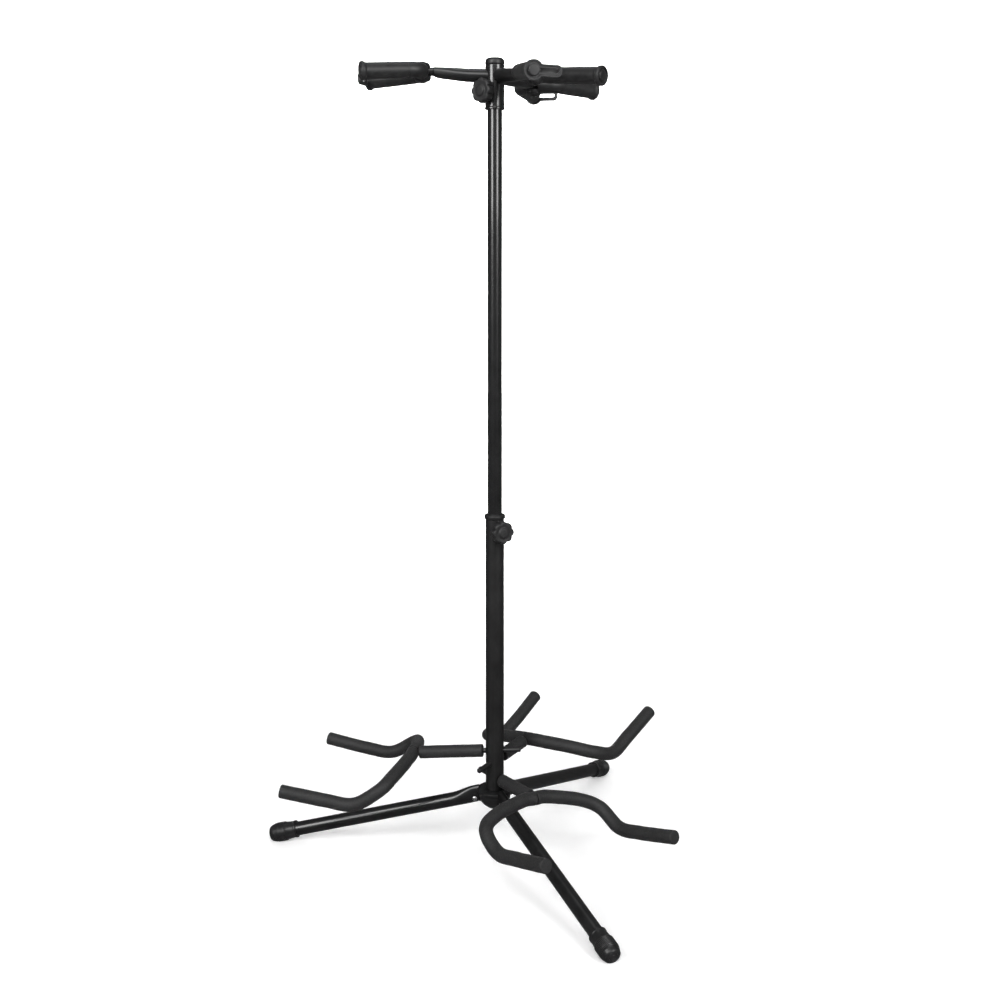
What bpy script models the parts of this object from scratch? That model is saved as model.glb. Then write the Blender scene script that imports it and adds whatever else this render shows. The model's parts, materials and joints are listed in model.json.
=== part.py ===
"""Three-guitar floor rack: folding tripod base, telescoping column, three
padded U cradles near the floor and three neck yokes on a swivelling top."""

from math import atan2, cos, hypot, pi, radians, sin

import bmesh
import bpy
from mathutils import Matrix, Vector

# Frame: metres, +Z up, floor at Z = 0, front is -Y. The origin is the centre
# of the rack's footprint. Everything is drawn about the column's axis, which
# stands at COLUMN_X, COLUMN_Y in that frame.

COLUMN_X = 0.04273
COLUMN_Y = 0.00987
GAP = 0.0003

# Tripod base
LEG_AZIMUTHS = (174.2, 295.9, 56.6)
LEG_NAMES = ("left", "front", "back")
LEG_PIVOT_R = 0.0279
LEG_PIVOT_Z = 0.0778
LEG_SLOPE = radians(13.8)
LEG_AXIS_LIFT = 0.0033
LEG_RADIUS = 0.00975
LEG_WALL = 0.0015
LEG_LENGTH = 0.2905
LEG_END_HALF_HEIGHT = 0.0120
LEG_END_RISE = 0.0022
LEG_END_HALF_WIDTH = 0.0052
FOOT_RADIUS = 0.0136
FOOT_LENGTH = 0.0400
FOOT_OVERHANG = 0.0151
HUB_RADIUS = 0.0222
HUB_PLATE_RADIUS = 0.0254
HUB_TOP_Z = 0.0925
TONGUE_HALF = 0.0023
RIVET_RADIUS = 0.0030
LEG_SEGMENTS = 20

# Column
LOWER_RADIUS = 0.0127
LOWER_BORE = 0.0112
LOWER_TOP_Z = 0.4800
MIDDLE_RADIUS = 0.0098
UPPER_RADIUS = 0.0096
TUBE_BORE = 0.0080
SEAM_Z = 0.6520
MIDDLE_BOTTOM_Z = 0.2900
UPPER_TOP_Z = 1.0690
CLUTCH_KNOB_Z = 0.4660
CLUTCH_KNOB_AZIMUTH = -65.4
TOP_KNOB_Z = 1.0400
TOP_KNOB_AZIMUTH = -130.2
SLEEVE_RADIUS = 0.0124
SLEEVE_BORE = 0.0100
SLEEVE_BOTTOM_Z = 1.0184
SLEEVE_TOP_Z = 1.0735
CAP_TOP_Z = 1.0830

# Cradles: azimuth, upward tilt, roll, how much further out than the middle
# setting the U stands, and the level at which its rod passes the column
CRADLE_SET = (
    ("left", 170.1, -5.5, 2.4, 0.0224, 0.1488),
    ("front", 306.4, 0.4, -6.7, -0.0058, 0.1094),
    ("back", 51.4, 7.0, -6.8, -0.0213, 0.1340),
)
ROD_RADIUS = 0.0035
ROD_INNER_R = 0.0370
JUNCTION_R = 0.0960
STEM_FOAM_RADIUS = 0.0090
STEM_FOAM_START = 0.0170
CRADLE_FOAM_RADIUS = 0.0094
LOW_BEND = (0.1573, 0.1034, -0.0348)
CRADLE_TIP = (0.2573, 0.1080, -0.0122)
TIP_CLOSURE = 0.0040
CRADLE_SEGMENTS = 10

# Top: azimuth and tilt of each yoke, and how far its arm rises to meet it
ARM_SET = (
    ("left", 180.4, -3.8, 0.0099),
    ("front", 301.5, -5.4, 0.0),
    ("back", 55.0, -2.2, 0.0),
)
ARM_Z = 1.0609
ARM_ROOT_RADIUS = 0.0087
ARM_TONGUE_HALF = 0.0050
YOKE_PIVOT_R = 0.0925
YOKE_ROOT_W = 0.0263
YOKE_TIP_R = 0.1678
YOKE_TIP_W = 0.0492
YOKE_BODY_RADIUS = 0.0100
YOKE_BOSS_RADIUS = 0.0112
YOKE_BOSS_HALF = 0.0119
CORE_RADIUS = 0.0052
SLEEVE_PAD_RADIUS = 0.0103
FLANGE_RADIUS = 0.0121
GATE_LENGTH = 0.0340
GATE_THICKNESS = 0.0042


def clear_scene():
    """Remove every object already in the scene."""
    for old in list(bpy.data.objects):
        bpy.data.objects.remove(old, do_unlink=True)


def make_material(name, colour, roughness, metallic):
    """A plain Principled material."""
    mat = bpy.data.materials.new(name)
    mat.use_nodes = True
    shader = mat.node_tree.nodes["Principled BSDF"]
    shader.inputs["Base Color"].default_value = (*colour, 1.0)
    shader.inputs["Roughness"].default_value = roughness
    shader.inputs["Metallic"].default_value = metallic
    return mat


def make_object(name, bm, material, matrix=None, smooth=True):
    """Turn a bmesh into a named object at the given place."""
    bmesh.ops.recalc_face_normals(bm, faces=bm.faces)
    mesh = bpy.data.meshes.new(name)
    bm.to_mesh(mesh)
    bm.free()
    mesh.materials.append(material)
    for poly in mesh.polygons:
        poly.use_smooth = smooth
    obj = bpy.data.objects.new(name, mesh)
    bpy.context.scene.collection.objects.link(obj)
    if matrix is not None:
        obj.matrix_world = matrix
    return obj


def copy_object(source, name, matrix):
    """A second object that shares the first one's mesh."""
    obj = bpy.data.objects.new(name, source.data)
    bpy.context.scene.collection.objects.link(obj)
    obj.matrix_world = matrix
    return obj


def lathe(profile, segments, closed=True):
    """Turn an (r, z) outline about Z. A closed outline makes a ring; an open
    one starts and ends on the axis."""
    bm = bmesh.new()
    rings = []
    for radius, height in profile:
        if radius < 1e-9:
            rings.append([bm.verts.new((0.0, 0.0, height))])
            continue
        ring = []
        for step in range(segments):
            angle = 2.0 * pi * step / segments
            ring.append(bm.verts.new((radius * cos(angle), radius * sin(angle), height)))
        rings.append(ring)
    pairs = list(zip(rings, rings[1:]))
    if closed:
        pairs.append((rings[-1], rings[0]))
    for low, high in pairs:
        if len(low) + len(high) > 2:
            bridge(bm, low, high)
    return bm


def bridge(bm, low, high):
    """Join two rings of points, either of which may be a single pole."""
    count = max(len(low), len(high))
    for step in range(count):
        after = (step + 1) % count
        if len(low) == 1:
            bm.faces.new((low[0], high[step], high[after]))
        elif len(high) == 1:
            bm.faces.new((low[step], low[after], high[0]))
        else:
            bm.faces.new((low[step], low[after], high[after], high[step]))


def tube(outer, bore, bottom, top, segments=28, chamfer=0.0004):
    """An open-ended round tube with eased outer rims."""
    return lathe(
        [
            (bore, bottom),
            (outer - chamfer, bottom),
            (outer, bottom + chamfer),
            (outer, top - chamfer),
            (outer - chamfer, top),
            (bore, top),
        ],
        segments,
    )


def sweep(points, radii, segments, bore_points=None, bore_radius=None):
    """A round bar along a path, with an optional blind bore that follows the
    first part of the same path."""
    bm = bmesh.new()
    outer = sweep_rings(bm, points, radii, segments)
    for low, high in zip(outer, outer[1:]):
        bridge(bm, low, high)
    bm.faces.new(outer[-1])
    if bore_points is None:
        bm.faces.new(outer[0][::-1])
        return bm
    inner = sweep_rings(bm, bore_points, [bore_radius] * len(bore_points), segments)
    for low, high in zip(inner, inner[1:]):
        bridge(bm, low, high)
    bm.faces.new(inner[-1])
    bridge(bm, outer[0], inner[0])
    return bm


def sweep_rings(bm, points, radii, segments):
    """Rings of points square to a path, carried along without twist."""
    path = [Vector(point) for point in points]
    tangents = []
    for index in range(len(path)):
        before = path[max(index - 1, 0)]
        after = path[min(index + 1, len(path) - 1)]
        tangents.append((after - before).normalized())
    side = tangents[0].orthogonal().normalized()
    rings = []
    for index, centre in enumerate(path):
        if index:
            turn = tangents[index - 1].rotation_difference(tangents[index])
            side = (turn @ side).normalized()
        other = tangents[index].cross(side)
        ring = []
        for step in range(segments):
            angle = 2.0 * pi * step / segments
            offset = side * cos(angle) + other * sin(angle)
            ring.append(bm.verts.new(centre + offset * radii[index]))
        rings.append(ring)
    return rings


def loft(sections, segments):
    """A solid bar along X through ellipses (x, z, half width, half height)."""
    bm = bmesh.new()
    rings = []
    for x, z, half_width, half_height in sections:
        ring = []
        for step in range(segments):
            angle = 2.0 * pi * (step + 0.5) / segments
            ring.append(bm.verts.new((x, half_width * cos(angle), z + half_height * sin(angle))))
        rings.append(ring)
    for low, high in zip(rings, rings[1:]):
        bridge(bm, low, high)
    bm.faces.new(rings[0][::-1])
    bm.faces.new(rings[-1])
    return bm


def box(low, high):
    """A plain block between two corners."""
    bm = bmesh.new()
    size = [high[axis] - low[axis] for axis in range(3)]
    middle = [(high[axis] + low[axis]) / 2.0 for axis in range(3)]
    place = Matrix.Translation(middle) @ Matrix.Diagonal((*size, 1.0))
    bmesh.ops.create_cube(bm, size=1.0, matrix=place)
    return bm


def cylinder(radius, length, matrix, segments=20):
    """A plain round bar centred on the matrix, along its own Z."""
    bm = bmesh.new()
    bmesh.ops.create_cone(
        bm,
        cap_ends=True,
        segments=segments,
        radius1=radius,
        radius2=radius,
        depth=length,
        matrix=matrix,
    )
    return bm


def combine(target, operation, *tools):
    """Apply exact booleans between a local-space body and tool meshes."""
    for bm in tools:
        bmesh.ops.recalc_face_normals(bm, faces=bm.faces)
        mesh = bpy.data.meshes.new("tool")
        bm.to_mesh(mesh)
        bm.free()
        cutter = bpy.data.objects.new("tool", mesh)
        bpy.context.scene.collection.objects.link(cutter)
        cutter.matrix_world = target.matrix_world
        modifier = target.modifiers.new("cut", "BOOLEAN")
        modifier.operation = operation
        modifier.solver = "EXACT"
        modifier.object = cutter
        bpy.context.view_layer.update()
        graph = bpy.context.evaluated_depsgraph_get()
        result = bpy.data.meshes.new_from_object(target.evaluated_get(graph))
        target.modifiers.remove(modifier)
        target.data = result
        bpy.data.objects.remove(cutter, do_unlink=True)
    tidy = bmesh.new()
    tidy.from_mesh(target.data)
    bmesh.ops.remove_doubles(tidy, verts=tidy.verts, dist=0.00001)
    bmesh.ops.dissolve_degenerate(tidy, edges=tidy.edges, dist=0.00001)
    tidy.to_mesh(target.data)
    tidy.free()
    for poly in target.data.polygons:
        poly.use_smooth = True
    return target


def turned(azimuth, height=0.0):
    """The frame of a radial part: X outward, Z up."""
    return Matrix.Translation((0.0, 0.0, height)) @ Matrix.Rotation(radians(azimuth), 4, "Z")


def radial(azimuth, radius, height):
    """A frame whose own Z points outward along an azimuth."""
    place = turned(azimuth, height) @ Matrix.Translation((radius, 0.0, 0.0))
    return place @ Matrix.Rotation(pi / 2.0, 4, "Y")


def spline(points, steps):
    """A smooth path through points, with a number of steps for each span."""
    knots = [Vector(point) for point in points]
    knots = [knots[0] * 2.0 - knots[1]] + knots + [knots[-1] * 2.0 - knots[-2]]
    path = []
    for index in range(1, len(knots) - 2):
        p0, p1, p2, p3 = knots[index - 1:index + 3]
        for step in range(steps[index - 1]):
            t = step / steps[index - 1]
            path.append(
                0.5 * (2.0 * p1 + (p2 - p0) * t
                       + (2.0 * p0 - 5.0 * p1 + 4.0 * p2 - p3) * t * t
                       + (3.0 * p1 - p0 - 3.0 * p2 + p3) * t * t * t)
            )
    path.append(knots[-2])
    return path


clear_scene()

gloss_black = make_material("gloss_black_paint", (0.012, 0.012, 0.013), 0.22, 0.0)
satin_black = make_material("satin_black_paint", (0.020, 0.020, 0.021), 0.42, 0.0)
black_plastic = make_material("black_plastic", (0.030, 0.030, 0.031), 0.50, 0.0)
black_foam = make_material("black_foam", (0.045, 0.045, 0.046), 0.90, 0.0)
black_rubber = make_material("black_rubber", (0.035, 0.035, 0.036), 0.62, 0.0)
bright_steel = make_material("bright_steel", (0.62, 0.62, 0.63), 0.25, 1.0)


# Tripod hub: a rim the legs butt against, a narrow core and three tongues

hub = make_object(
    "leg_hub",
    lathe(
        [
            (0.0, 0.0665),
            (0.0110, 0.0665),
            (0.0172, 0.0715),
            (HUB_RADIUS, 0.0825),
            (HUB_RADIUS, 0.0889),
            (HUB_PLATE_RADIUS, 0.0893),
            (HUB_PLATE_RADIUS, 0.0919),
            (HUB_PLATE_RADIUS - 0.0006, HUB_TOP_Z),
            (LOWER_BORE - GAP, HUB_TOP_Z),
            (LOWER_BORE - GAP, 0.1040),
            (0.0, 0.1040),
        ],
        28,
        closed=False,
    ),
    black_plastic,
)
for azimuth in LEG_AZIMUTHS:
    place = turned(azimuth, LEG_PIVOT_Z) @ Matrix.Translation((LEG_PIVOT_R, 0.0, 0.0))
    notch = box((-0.0054, -0.0068, -0.0120), (0.0100, 0.0068, 0.0200))
    notch.transform(place)
    combine(hub, "DIFFERENCE", notch)
    eye = cylinder(0.0046, 2.0 * TONGUE_HALF, Matrix.Rotation(pi / 2.0, 4, "X"), 14)
    eye.transform(place)
    web = box((-0.0125, -TONGUE_HALF, -0.0046), (0.0000, TONGUE_HALF, 0.0046))
    web.transform(place)
    combine(hub, "UNION", web, eye)
    hole = cylinder(RIVET_RADIUS + GAP, 0.02, Matrix.Rotation(pi / 2.0, 4, "X"), 12)
    hole.transform(place)
    combine(hub, "DIFFERENCE", hole)


# Legs, rivets and foot caps, each drawn with its pivot at the origin

def leg_sections(inset):
    """Round tube that is squeezed tall and thin where it meets the hub."""
    rows = []
    for along, blend in ((-0.012, 1.0), (0.001, 1.0), (0.015, 0.55), (0.032, 0.0), (LEG_LENGTH, 0.0)):
        half_width = LEG_RADIUS * (1.0 - blend) + LEG_END_HALF_WIDTH * blend - inset
        half_height = LEG_RADIUS * (1.0 - blend) + LEG_END_HALF_HEIGHT * blend - inset
        rows.append((along, LEG_END_RISE * blend, half_width, half_height))
    return rows


def make_leg():
    """One leg tube in its pivot frame, X outward."""
    lie = Matrix.Translation((0.0, 0.0, LEG_AXIS_LIFT)) @ Matrix.Rotation(LEG_SLOPE, 4, "Y")
    shell = loft(leg_sections(0.0), LEG_SEGMENTS)
    shell.transform(lie)
    body = make_object("leg_left", shell, gloss_black)
    hollow = loft([(x * 1.01, z, w, h) for x, z, w, h in leg_sections(LEG_WALL)], LEG_SEGMENTS)
    hollow.transform(lie)
    combine(body, "DIFFERENCE", hollow)
    face = box((-0.05, -0.02, -0.03), (-0.0051, 0.02, 0.05))
    combine(body, "DIFFERENCE", face)
    slot = box((-0.02, -TONGUE_HALF - 0.0004, -0.03), (0.0062, TONGUE_HALF + 0.0004, 0.0030))
    combine(body, "DIFFERENCE", slot)
    hole = cylinder(RIVET_RADIUS + GAP, 0.03, Matrix.Rotation(pi / 2.0, 4, "X"), 12)
    combine(body, "DIFFERENCE", hole)
    return body


def make_foot():
    """Rubber cap on the lower end of a leg, its sole cut flat on the floor."""
    end = LEG_LENGTH + FOOT_OVERHANG
    start = end - FOOT_LENGTH
    bore = LEG_RADIUS + GAP
    outline = [
        (bore, start),
        (0.0121, start),
        (0.0121, start + 0.0060),
        (FOOT_RADIUS, start + 0.0180),
        (FOOT_RADIUS, end - 0.0080),
        (0.0114, end - 0.0014),
        (0.0088, end),
        (0.0, end),
    ]
    inner = [(0.0, LEG_LENGTH + GAP), (bore, LEG_LENGTH + GAP)]
    shell = lathe(outline + inner, 20)
    lie = Matrix.Translation((0.0, 0.0, LEG_AXIS_LIFT)) @ Matrix.Rotation(LEG_SLOPE, 4, "Y")
    shell.transform(lie @ Matrix.Rotation(pi / 2.0, 4, "Y"))
    cap = make_object("foot_cap_left", shell, black_rubber)
    sole = box((0.20, -0.05, -0.15), (0.35, 0.05, -LEG_PIVOT_Z))
    combine(cap, "DIFFERENCE", sole)
    return cap


def make_rivet():
    """Round-headed rivet across the leg end, along Y."""
    half = LEG_END_HALF_WIDTH + GAP
    outline = [
        (0.0, -half - 0.0017),
        (0.0022, -half - 0.0014),
        (0.0038, -half),
        (RIVET_RADIUS, -half),
        (RIVET_RADIUS, half),
        (0.0038, half),
        (0.0022, half + 0.0014),
        (0.0, half + 0.0017),
    ]
    body = lathe(outline, 12, closed=False)
    body.transform(Matrix.Rotation(pi / 2.0, 4, "X"))
    return make_object("leg_rivet_left", body, bright_steel)


leg = make_leg()
foot = make_foot()
rivet = make_rivet()
for name, azimuth in zip(LEG_NAMES, LEG_AZIMUTHS):
    place = turned(azimuth, LEG_PIVOT_Z) @ Matrix.Translation((LEG_PIVOT_R, 0.0, 0.0))
    for stem, source in (("leg_", leg), ("foot_cap_", foot), ("leg_rivet_", rivet)):
        if source.name == stem + name:
            source.matrix_world = place
        else:
            copy_object(source, stem + name, place)


# Column tubes, clutch and knobs

lower = make_object(
    "lower_tube",
    tube(LOWER_RADIUS, LOWER_BORE, HUB_TOP_Z + GAP, LOWER_TOP_Z),
    satin_black,
)
make_object("middle_tube", tube(MIDDLE_RADIUS, TUBE_BORE, MIDDLE_BOTTOM_Z, SEAM_Z), gloss_black)
make_object(
    "upper_tube",
    lathe(
        [
            (0.0062, SEAM_Z - 0.0450),
            (0.0077, SEAM_Z - 0.0450),
            (0.0077, SEAM_Z + GAP),
            (UPPER_RADIUS - 0.0008, SEAM_Z + GAP),
            (UPPER_RADIUS, SEAM_Z + 0.0012),
            (UPPER_RADIUS, UPPER_TOP_Z),
            (0.0078, UPPER_TOP_Z),
            (0.0078, SEAM_Z + 0.0060),
            (0.0062, SEAM_Z + 0.0020),
        ],
        28,
    ),
    gloss_black,
)

collar = make_object(
    "clutch_collar",
    lathe(
        [
            (MIDDLE_RADIUS + GAP, 0.4300),
            (LOWER_BORE - GAP, 0.4300),
            (LOWER_BORE - GAP, LOWER_TOP_Z + GAP),
            (0.0131, LOWER_TOP_Z + GAP),
            (0.0142, LOWER_TOP_Z + 0.0014),
            (0.0142, LOWER_TOP_Z + 0.0052),
            (0.0134, LOWER_TOP_Z + 0.0064),
            (0.0112, LOWER_TOP_Z + 0.0064),
            (0.0104, LOWER_TOP_Z + 0.0078),
            (MIDDLE_RADIUS + GAP, LOWER_TOP_Z + 0.0078),
        ],
        24,
    ),
    black_plastic,
)

sleeve = make_object(
    "top_sleeve",
    lathe(
        [
            (SLEEVE_BORE, SLEEVE_BOTTOM_Z),
            (0.0129, SLEEVE_BOTTOM_Z),
            (0.0129, SLEEVE_BOTTOM_Z + 0.0022),
            (SLEEVE_RADIUS, SLEEVE_BOTTOM_Z + 0.0030),
            (SLEEVE_RADIUS, SLEEVE_TOP_Z),
            (SLEEVE_BORE, SLEEVE_TOP_Z),
        ],
        28,
    ),
    gloss_black,
)

make_object(
    "top_cap",
    lathe(
        [
            (0.0, UPPER_TOP_Z + GAP),
            (SLEEVE_BORE - GAP, UPPER_TOP_Z + GAP),
            (SLEEVE_BORE - GAP, SLEEVE_TOP_Z + GAP),
            (SLEEVE_RADIUS, SLEEVE_TOP_Z + GAP),
            (SLEEVE_RADIUS, CAP_TOP_Z - 0.0046),
            (0.0116, CAP_TOP_Z - 0.0022),
            (0.0092, CAP_TOP_Z - 0.0004),
            (0.0, CAP_TOP_Z),
        ],
        28,
        closed=False,
    ),
    black_plastic,
)


def make_knob(name, azimuth, seat, height):
    """Seven-lobed clamping knob on its own outward axis, with a bore for the
    screw it turns."""
    lobes = 7
    segments = 42
    layers = (
        (0.0000, 0.0128, 0.4),
        (0.0014, 0.0144, 0.9),
        (0.0102, 0.0148, 1.0),
        (0.0122, 0.0132, 0.8),
        (0.0126, 0.0070, 0.0),
        (0.0138, 0.0062, 0.0),
        (0.0138, 0.0, 0.0),
    )
    bm = bmesh.new()
    rings = []
    bore = 0.0033
    for depth, radius, lobe in ((0.0080, bore, 0.0), (0.0000, bore, 0.0)) + layers:
        if radius == 0.0:
            rings.append([bm.verts.new((0.0, 0.0, depth))])
            continue
        ring = []
        for step in range(segments):
            angle = 2.0 * pi * step / segments
            reach = radius + 0.0011 * lobe * cos(lobes * angle)
            ring.append(bm.verts.new((reach * cos(angle), reach * sin(angle), depth)))
        rings.append(ring)
    floor = [bm.verts.new((0.0, 0.0, 0.0080))]
    bridge(bm, floor, rings[0])
    for low, high in zip(rings, rings[1:]):
        bridge(bm, low, high)
    return make_object(name, bm, black_plastic, radial(azimuth, seat, height))


def make_clamp(prefix, azimuth, height, wall, bore):
    """Nut welded on a tube, the screw through it and the knob that turns it."""
    seat = wall + 0.0046 + GAP
    nut = lathe(
        [(0.0039, 0.0), (0.0072, 0.0), (0.0072, 0.0052), (0.0039, 0.0052)],
        6,
    )
    nut_body = make_object(prefix + "_nut", nut, black_plastic, radial(azimuth, wall - 0.0006, height), False)
    nut_body.data.materials[0] = satin_black
    skin = cylinder(wall + GAP, 0.03, radial(azimuth, wall - 0.0006, height).inverted()
                    @ Matrix.Translation((0.0, 0.0, height)), 64)
    combine(nut_body, "DIFFERENCE", skin)
    for poly in nut_body.data.polygons:
        poly.use_smooth = False
    screw = lathe(
        [(0.0, 0.0), (0.0024, 0.0), (0.0030, 0.0008), (0.0030, seat + 0.0074 - bore), (0.0, seat + 0.0074 - bore)],
        12,
        closed=False,
    )
    make_object(prefix + "_screw", screw, bright_steel, radial(azimuth, bore, height))
    make_knob(prefix + "_knob", azimuth, seat, height)


for body, azimuth, height in (
    (lower, CLUTCH_KNOB_AZIMUTH, CLUTCH_KNOB_Z),
    (collar, CLUTCH_KNOB_AZIMUTH, CLUTCH_KNOB_Z),
    (sleeve, TOP_KNOB_AZIMUTH, TOP_KNOB_Z),
):
    combine(body, "DIFFERENCE", cylinder(0.0034, 0.012, radial(azimuth, 0.0125, height), 12))
make_clamp("clutch", CLUTCH_KNOB_AZIMUTH, CLUTCH_KNOB_Z, LOWER_RADIUS, MIDDLE_RADIUS + GAP)
make_clamp("top", TOP_KNOB_AZIMUTH, TOP_KNOB_Z, SLEEVE_RADIUS, UPPER_RADIUS + GAP)


# Cradles: bent rod, stem sleeve and two foam sleeves on the U

def cradle_path(side):
    """One half of the U from the stem to the tip, in the cradle's own frame."""
    points = [
        (JUNCTION_R, 0.0, 0.0),
        (JUNCTION_R + 0.0003, 0.0220 * side, -0.0006),
        (0.1067, 0.0712 * side, -0.0083),
        (0.1220, 0.0985 * side, -0.0189),
        (LOW_BEND[0], LOW_BEND[1] * side, LOW_BEND[2]),
        (0.1964, 0.1042 * side, -0.0279),
        (CRADLE_TIP[0], CRADLE_TIP[1] * side, CRADLE_TIP[2]),
    ]
    return spline(points, (1, 2, 3, 3, 3, 2))


def foam_half(name, side):
    """Foam sleeve over one half of the U, closed at the tip."""
    path = cradle_path(side)
    start = path[0].lerp(path[1], 0.0005 / (path[1] - path[0]).length)
    path = [start] + path[1:]
    beyond = (path[-1] - path[-2]).normalized()
    outer = path[:-1] + [path[-1] - beyond * 0.0015, path[-1]]
    radii = [CRADLE_FOAM_RADIUS] * (len(outer) - 1) + [CRADLE_FOAM_RADIUS - 0.0015]
    bore = path[:-1] + [path[-1] - beyond * TIP_CLOSURE]
    body = sweep(outer, radii, CRADLE_SEGMENTS, bore, ROD_RADIUS + 0.0005)
    body = make_object(name, body, black_foam)
    along = Matrix.Translation((JUNCTION_R - 0.0100, 0.0, 0.0)) @ Matrix.Rotation(pi / 2.0, 4, "Y")
    return combine(body, "DIFFERENCE", cylinder(ROD_RADIUS + GAP, 0.0200, along, 12))


def stem_foam(name, reach, place):
    """Foam sleeve on the stem, from beside the column up to the U."""
    start = STEM_FOAM_START - reach
    end = JUNCTION_R - CRADLE_FOAM_RADIUS - 0.0006
    body = lathe(
        [
            (ROD_RADIUS + GAP, start),
            (STEM_FOAM_RADIUS - 0.0008, start),
            (STEM_FOAM_RADIUS, start + 0.0008),
            (STEM_FOAM_RADIUS, end),
            (ROD_RADIUS + GAP, end),
        ],
        14,
    )
    body.transform(Matrix.Rotation(pi / 2.0, 4, "Y"))
    return make_object(name, body, black_foam, place)


def make_cradle(name, reach, place):
    """The welded rod: straight stem and U in one piece. The stem ends at the
    same distance behind the column on every cradle."""
    left = cradle_path(1.0)
    right = cradle_path(-1.0)
    back_off = TIP_CLOSURE + GAP
    for half in (left, right):
        half[-1] = half[-1] - (half[-1] - half[-2]).normalized() * back_off
    loop = right[::-1] + left[1:]
    bar = sweep(loop, [ROD_RADIUS] * len(loop), CRADLE_SEGMENTS)
    body = make_object(name, bar, satin_black, place)
    inner = -ROD_INNER_R - reach
    stem = lathe(
        [
            (0.0, inner),
            (0.0027, inner),
            (ROD_RADIUS, inner + 0.0010),
            (ROD_RADIUS, JUNCTION_R),
            (0.0, JUNCTION_R),
        ],
        12,
        closed=False,
    )
    stem.transform(Matrix.Rotation(pi / 2.0, 4, "Y"))
    return combine(body, "UNION", stem)


foam_a = foam_half("cradle_foam_left_a", 1.0)
foam_b = foam_half("cradle_foam_left_b", -1.0)
for name, azimuth, tilt, roll, reach, level in CRADLE_SET:
    place = turned(azimuth, level) @ Matrix.Rotation(radians(-tilt), 4, "Y")
    bored = place @ Matrix.Rotation(pi / 2.0, 4, "Y")
    combine(lower, "DIFFERENCE", cylinder(ROD_RADIUS + GAP, 0.06, bored, 12))
    place = place @ Matrix.Rotation(radians(roll), 4, "X") @ Matrix.Translation((reach, 0.0, 0.0))
    parts = (
        ("cradle_foam_" + name + "_a", foam_a),
        ("cradle_foam_" + name + "_b", foam_b),
    )
    make_cradle("cradle_rod_" + name, reach, place)
    stem_foam("stem_foam_" + name, reach, place)
    for part_name, source in parts:
        if source.name == part_name:
            source.matrix_world = place
        else:
            copy_object(source, part_name, place)


# Neck arms: round at the sleeve, pressed flat where the yoke pin passes

def make_arm(name, droop, rise, place):
    """One neck arm in its own radial frame: a round root coped to the sleeve,
    flattened and bent to a tongue that lies at the yoke's height."""
    body = make_object(
        name,
        loft(
            [
                (0.0080, 0.0, ARM_ROOT_RADIUS, ARM_ROOT_RADIUS),
                (0.0320, rise * 0.23, 0.0086, 0.0085),
                (0.0450, rise * 0.41, 0.0085, 0.0082),
                (0.0577, rise * 0.60, 0.0085, 0.0077),
                (0.0705, rise * 0.80, 0.0087, 0.0069),
                (0.0765, rise * 0.92, 0.0085, 0.0061),
                (0.0806, rise, 0.0070, ARM_TONGUE_HALF),
                (YOKE_PIVOT_R + 0.0042, rise, 0.0066, ARM_TONGUE_HALF),
                (YOKE_PIVOT_R + 0.0060, rise, 0.0046, ARM_TONGUE_HALF),
            ],
            18,
        ),
        gloss_black,
        place,
    )
    upright = Matrix.Rotation(radians(droop), 4, "Y")
    skin = cylinder(SLEEVE_RADIUS + GAP, 0.06, upright, 40)
    combine(body, "DIFFERENCE", skin)
    hole = cylinder(0.0028 + GAP, 0.03, Matrix.Translation((YOKE_PIVOT_R, 0.0, rise)), 12)
    return combine(body, "DIFFERENCE", hole)


def fork_direction():
    """Unit vector along one prong, in the yoke frame."""
    run = YOKE_TIP_R - YOKE_PIVOT_R - 0.0060
    rise = YOKE_TIP_W - YOKE_ROOT_W
    length = hypot(run, rise)
    return Vector((run / length, rise / length, 0.0))


PRONG_ROOT = Vector((0.0060, YOKE_ROOT_W, 0.0))
PRONG_TIP = Vector((YOKE_TIP_R - YOKE_PIVOT_R, YOKE_TIP_W, 0.0))
PRONG_DIR = fork_direction()
PRONG_ANGLE = atan2(PRONG_DIR.y, PRONG_DIR.x)
PRONG_LENGTH = (PRONG_TIP - PRONG_ROOT).length
PAD_START = 0.0120


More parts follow.
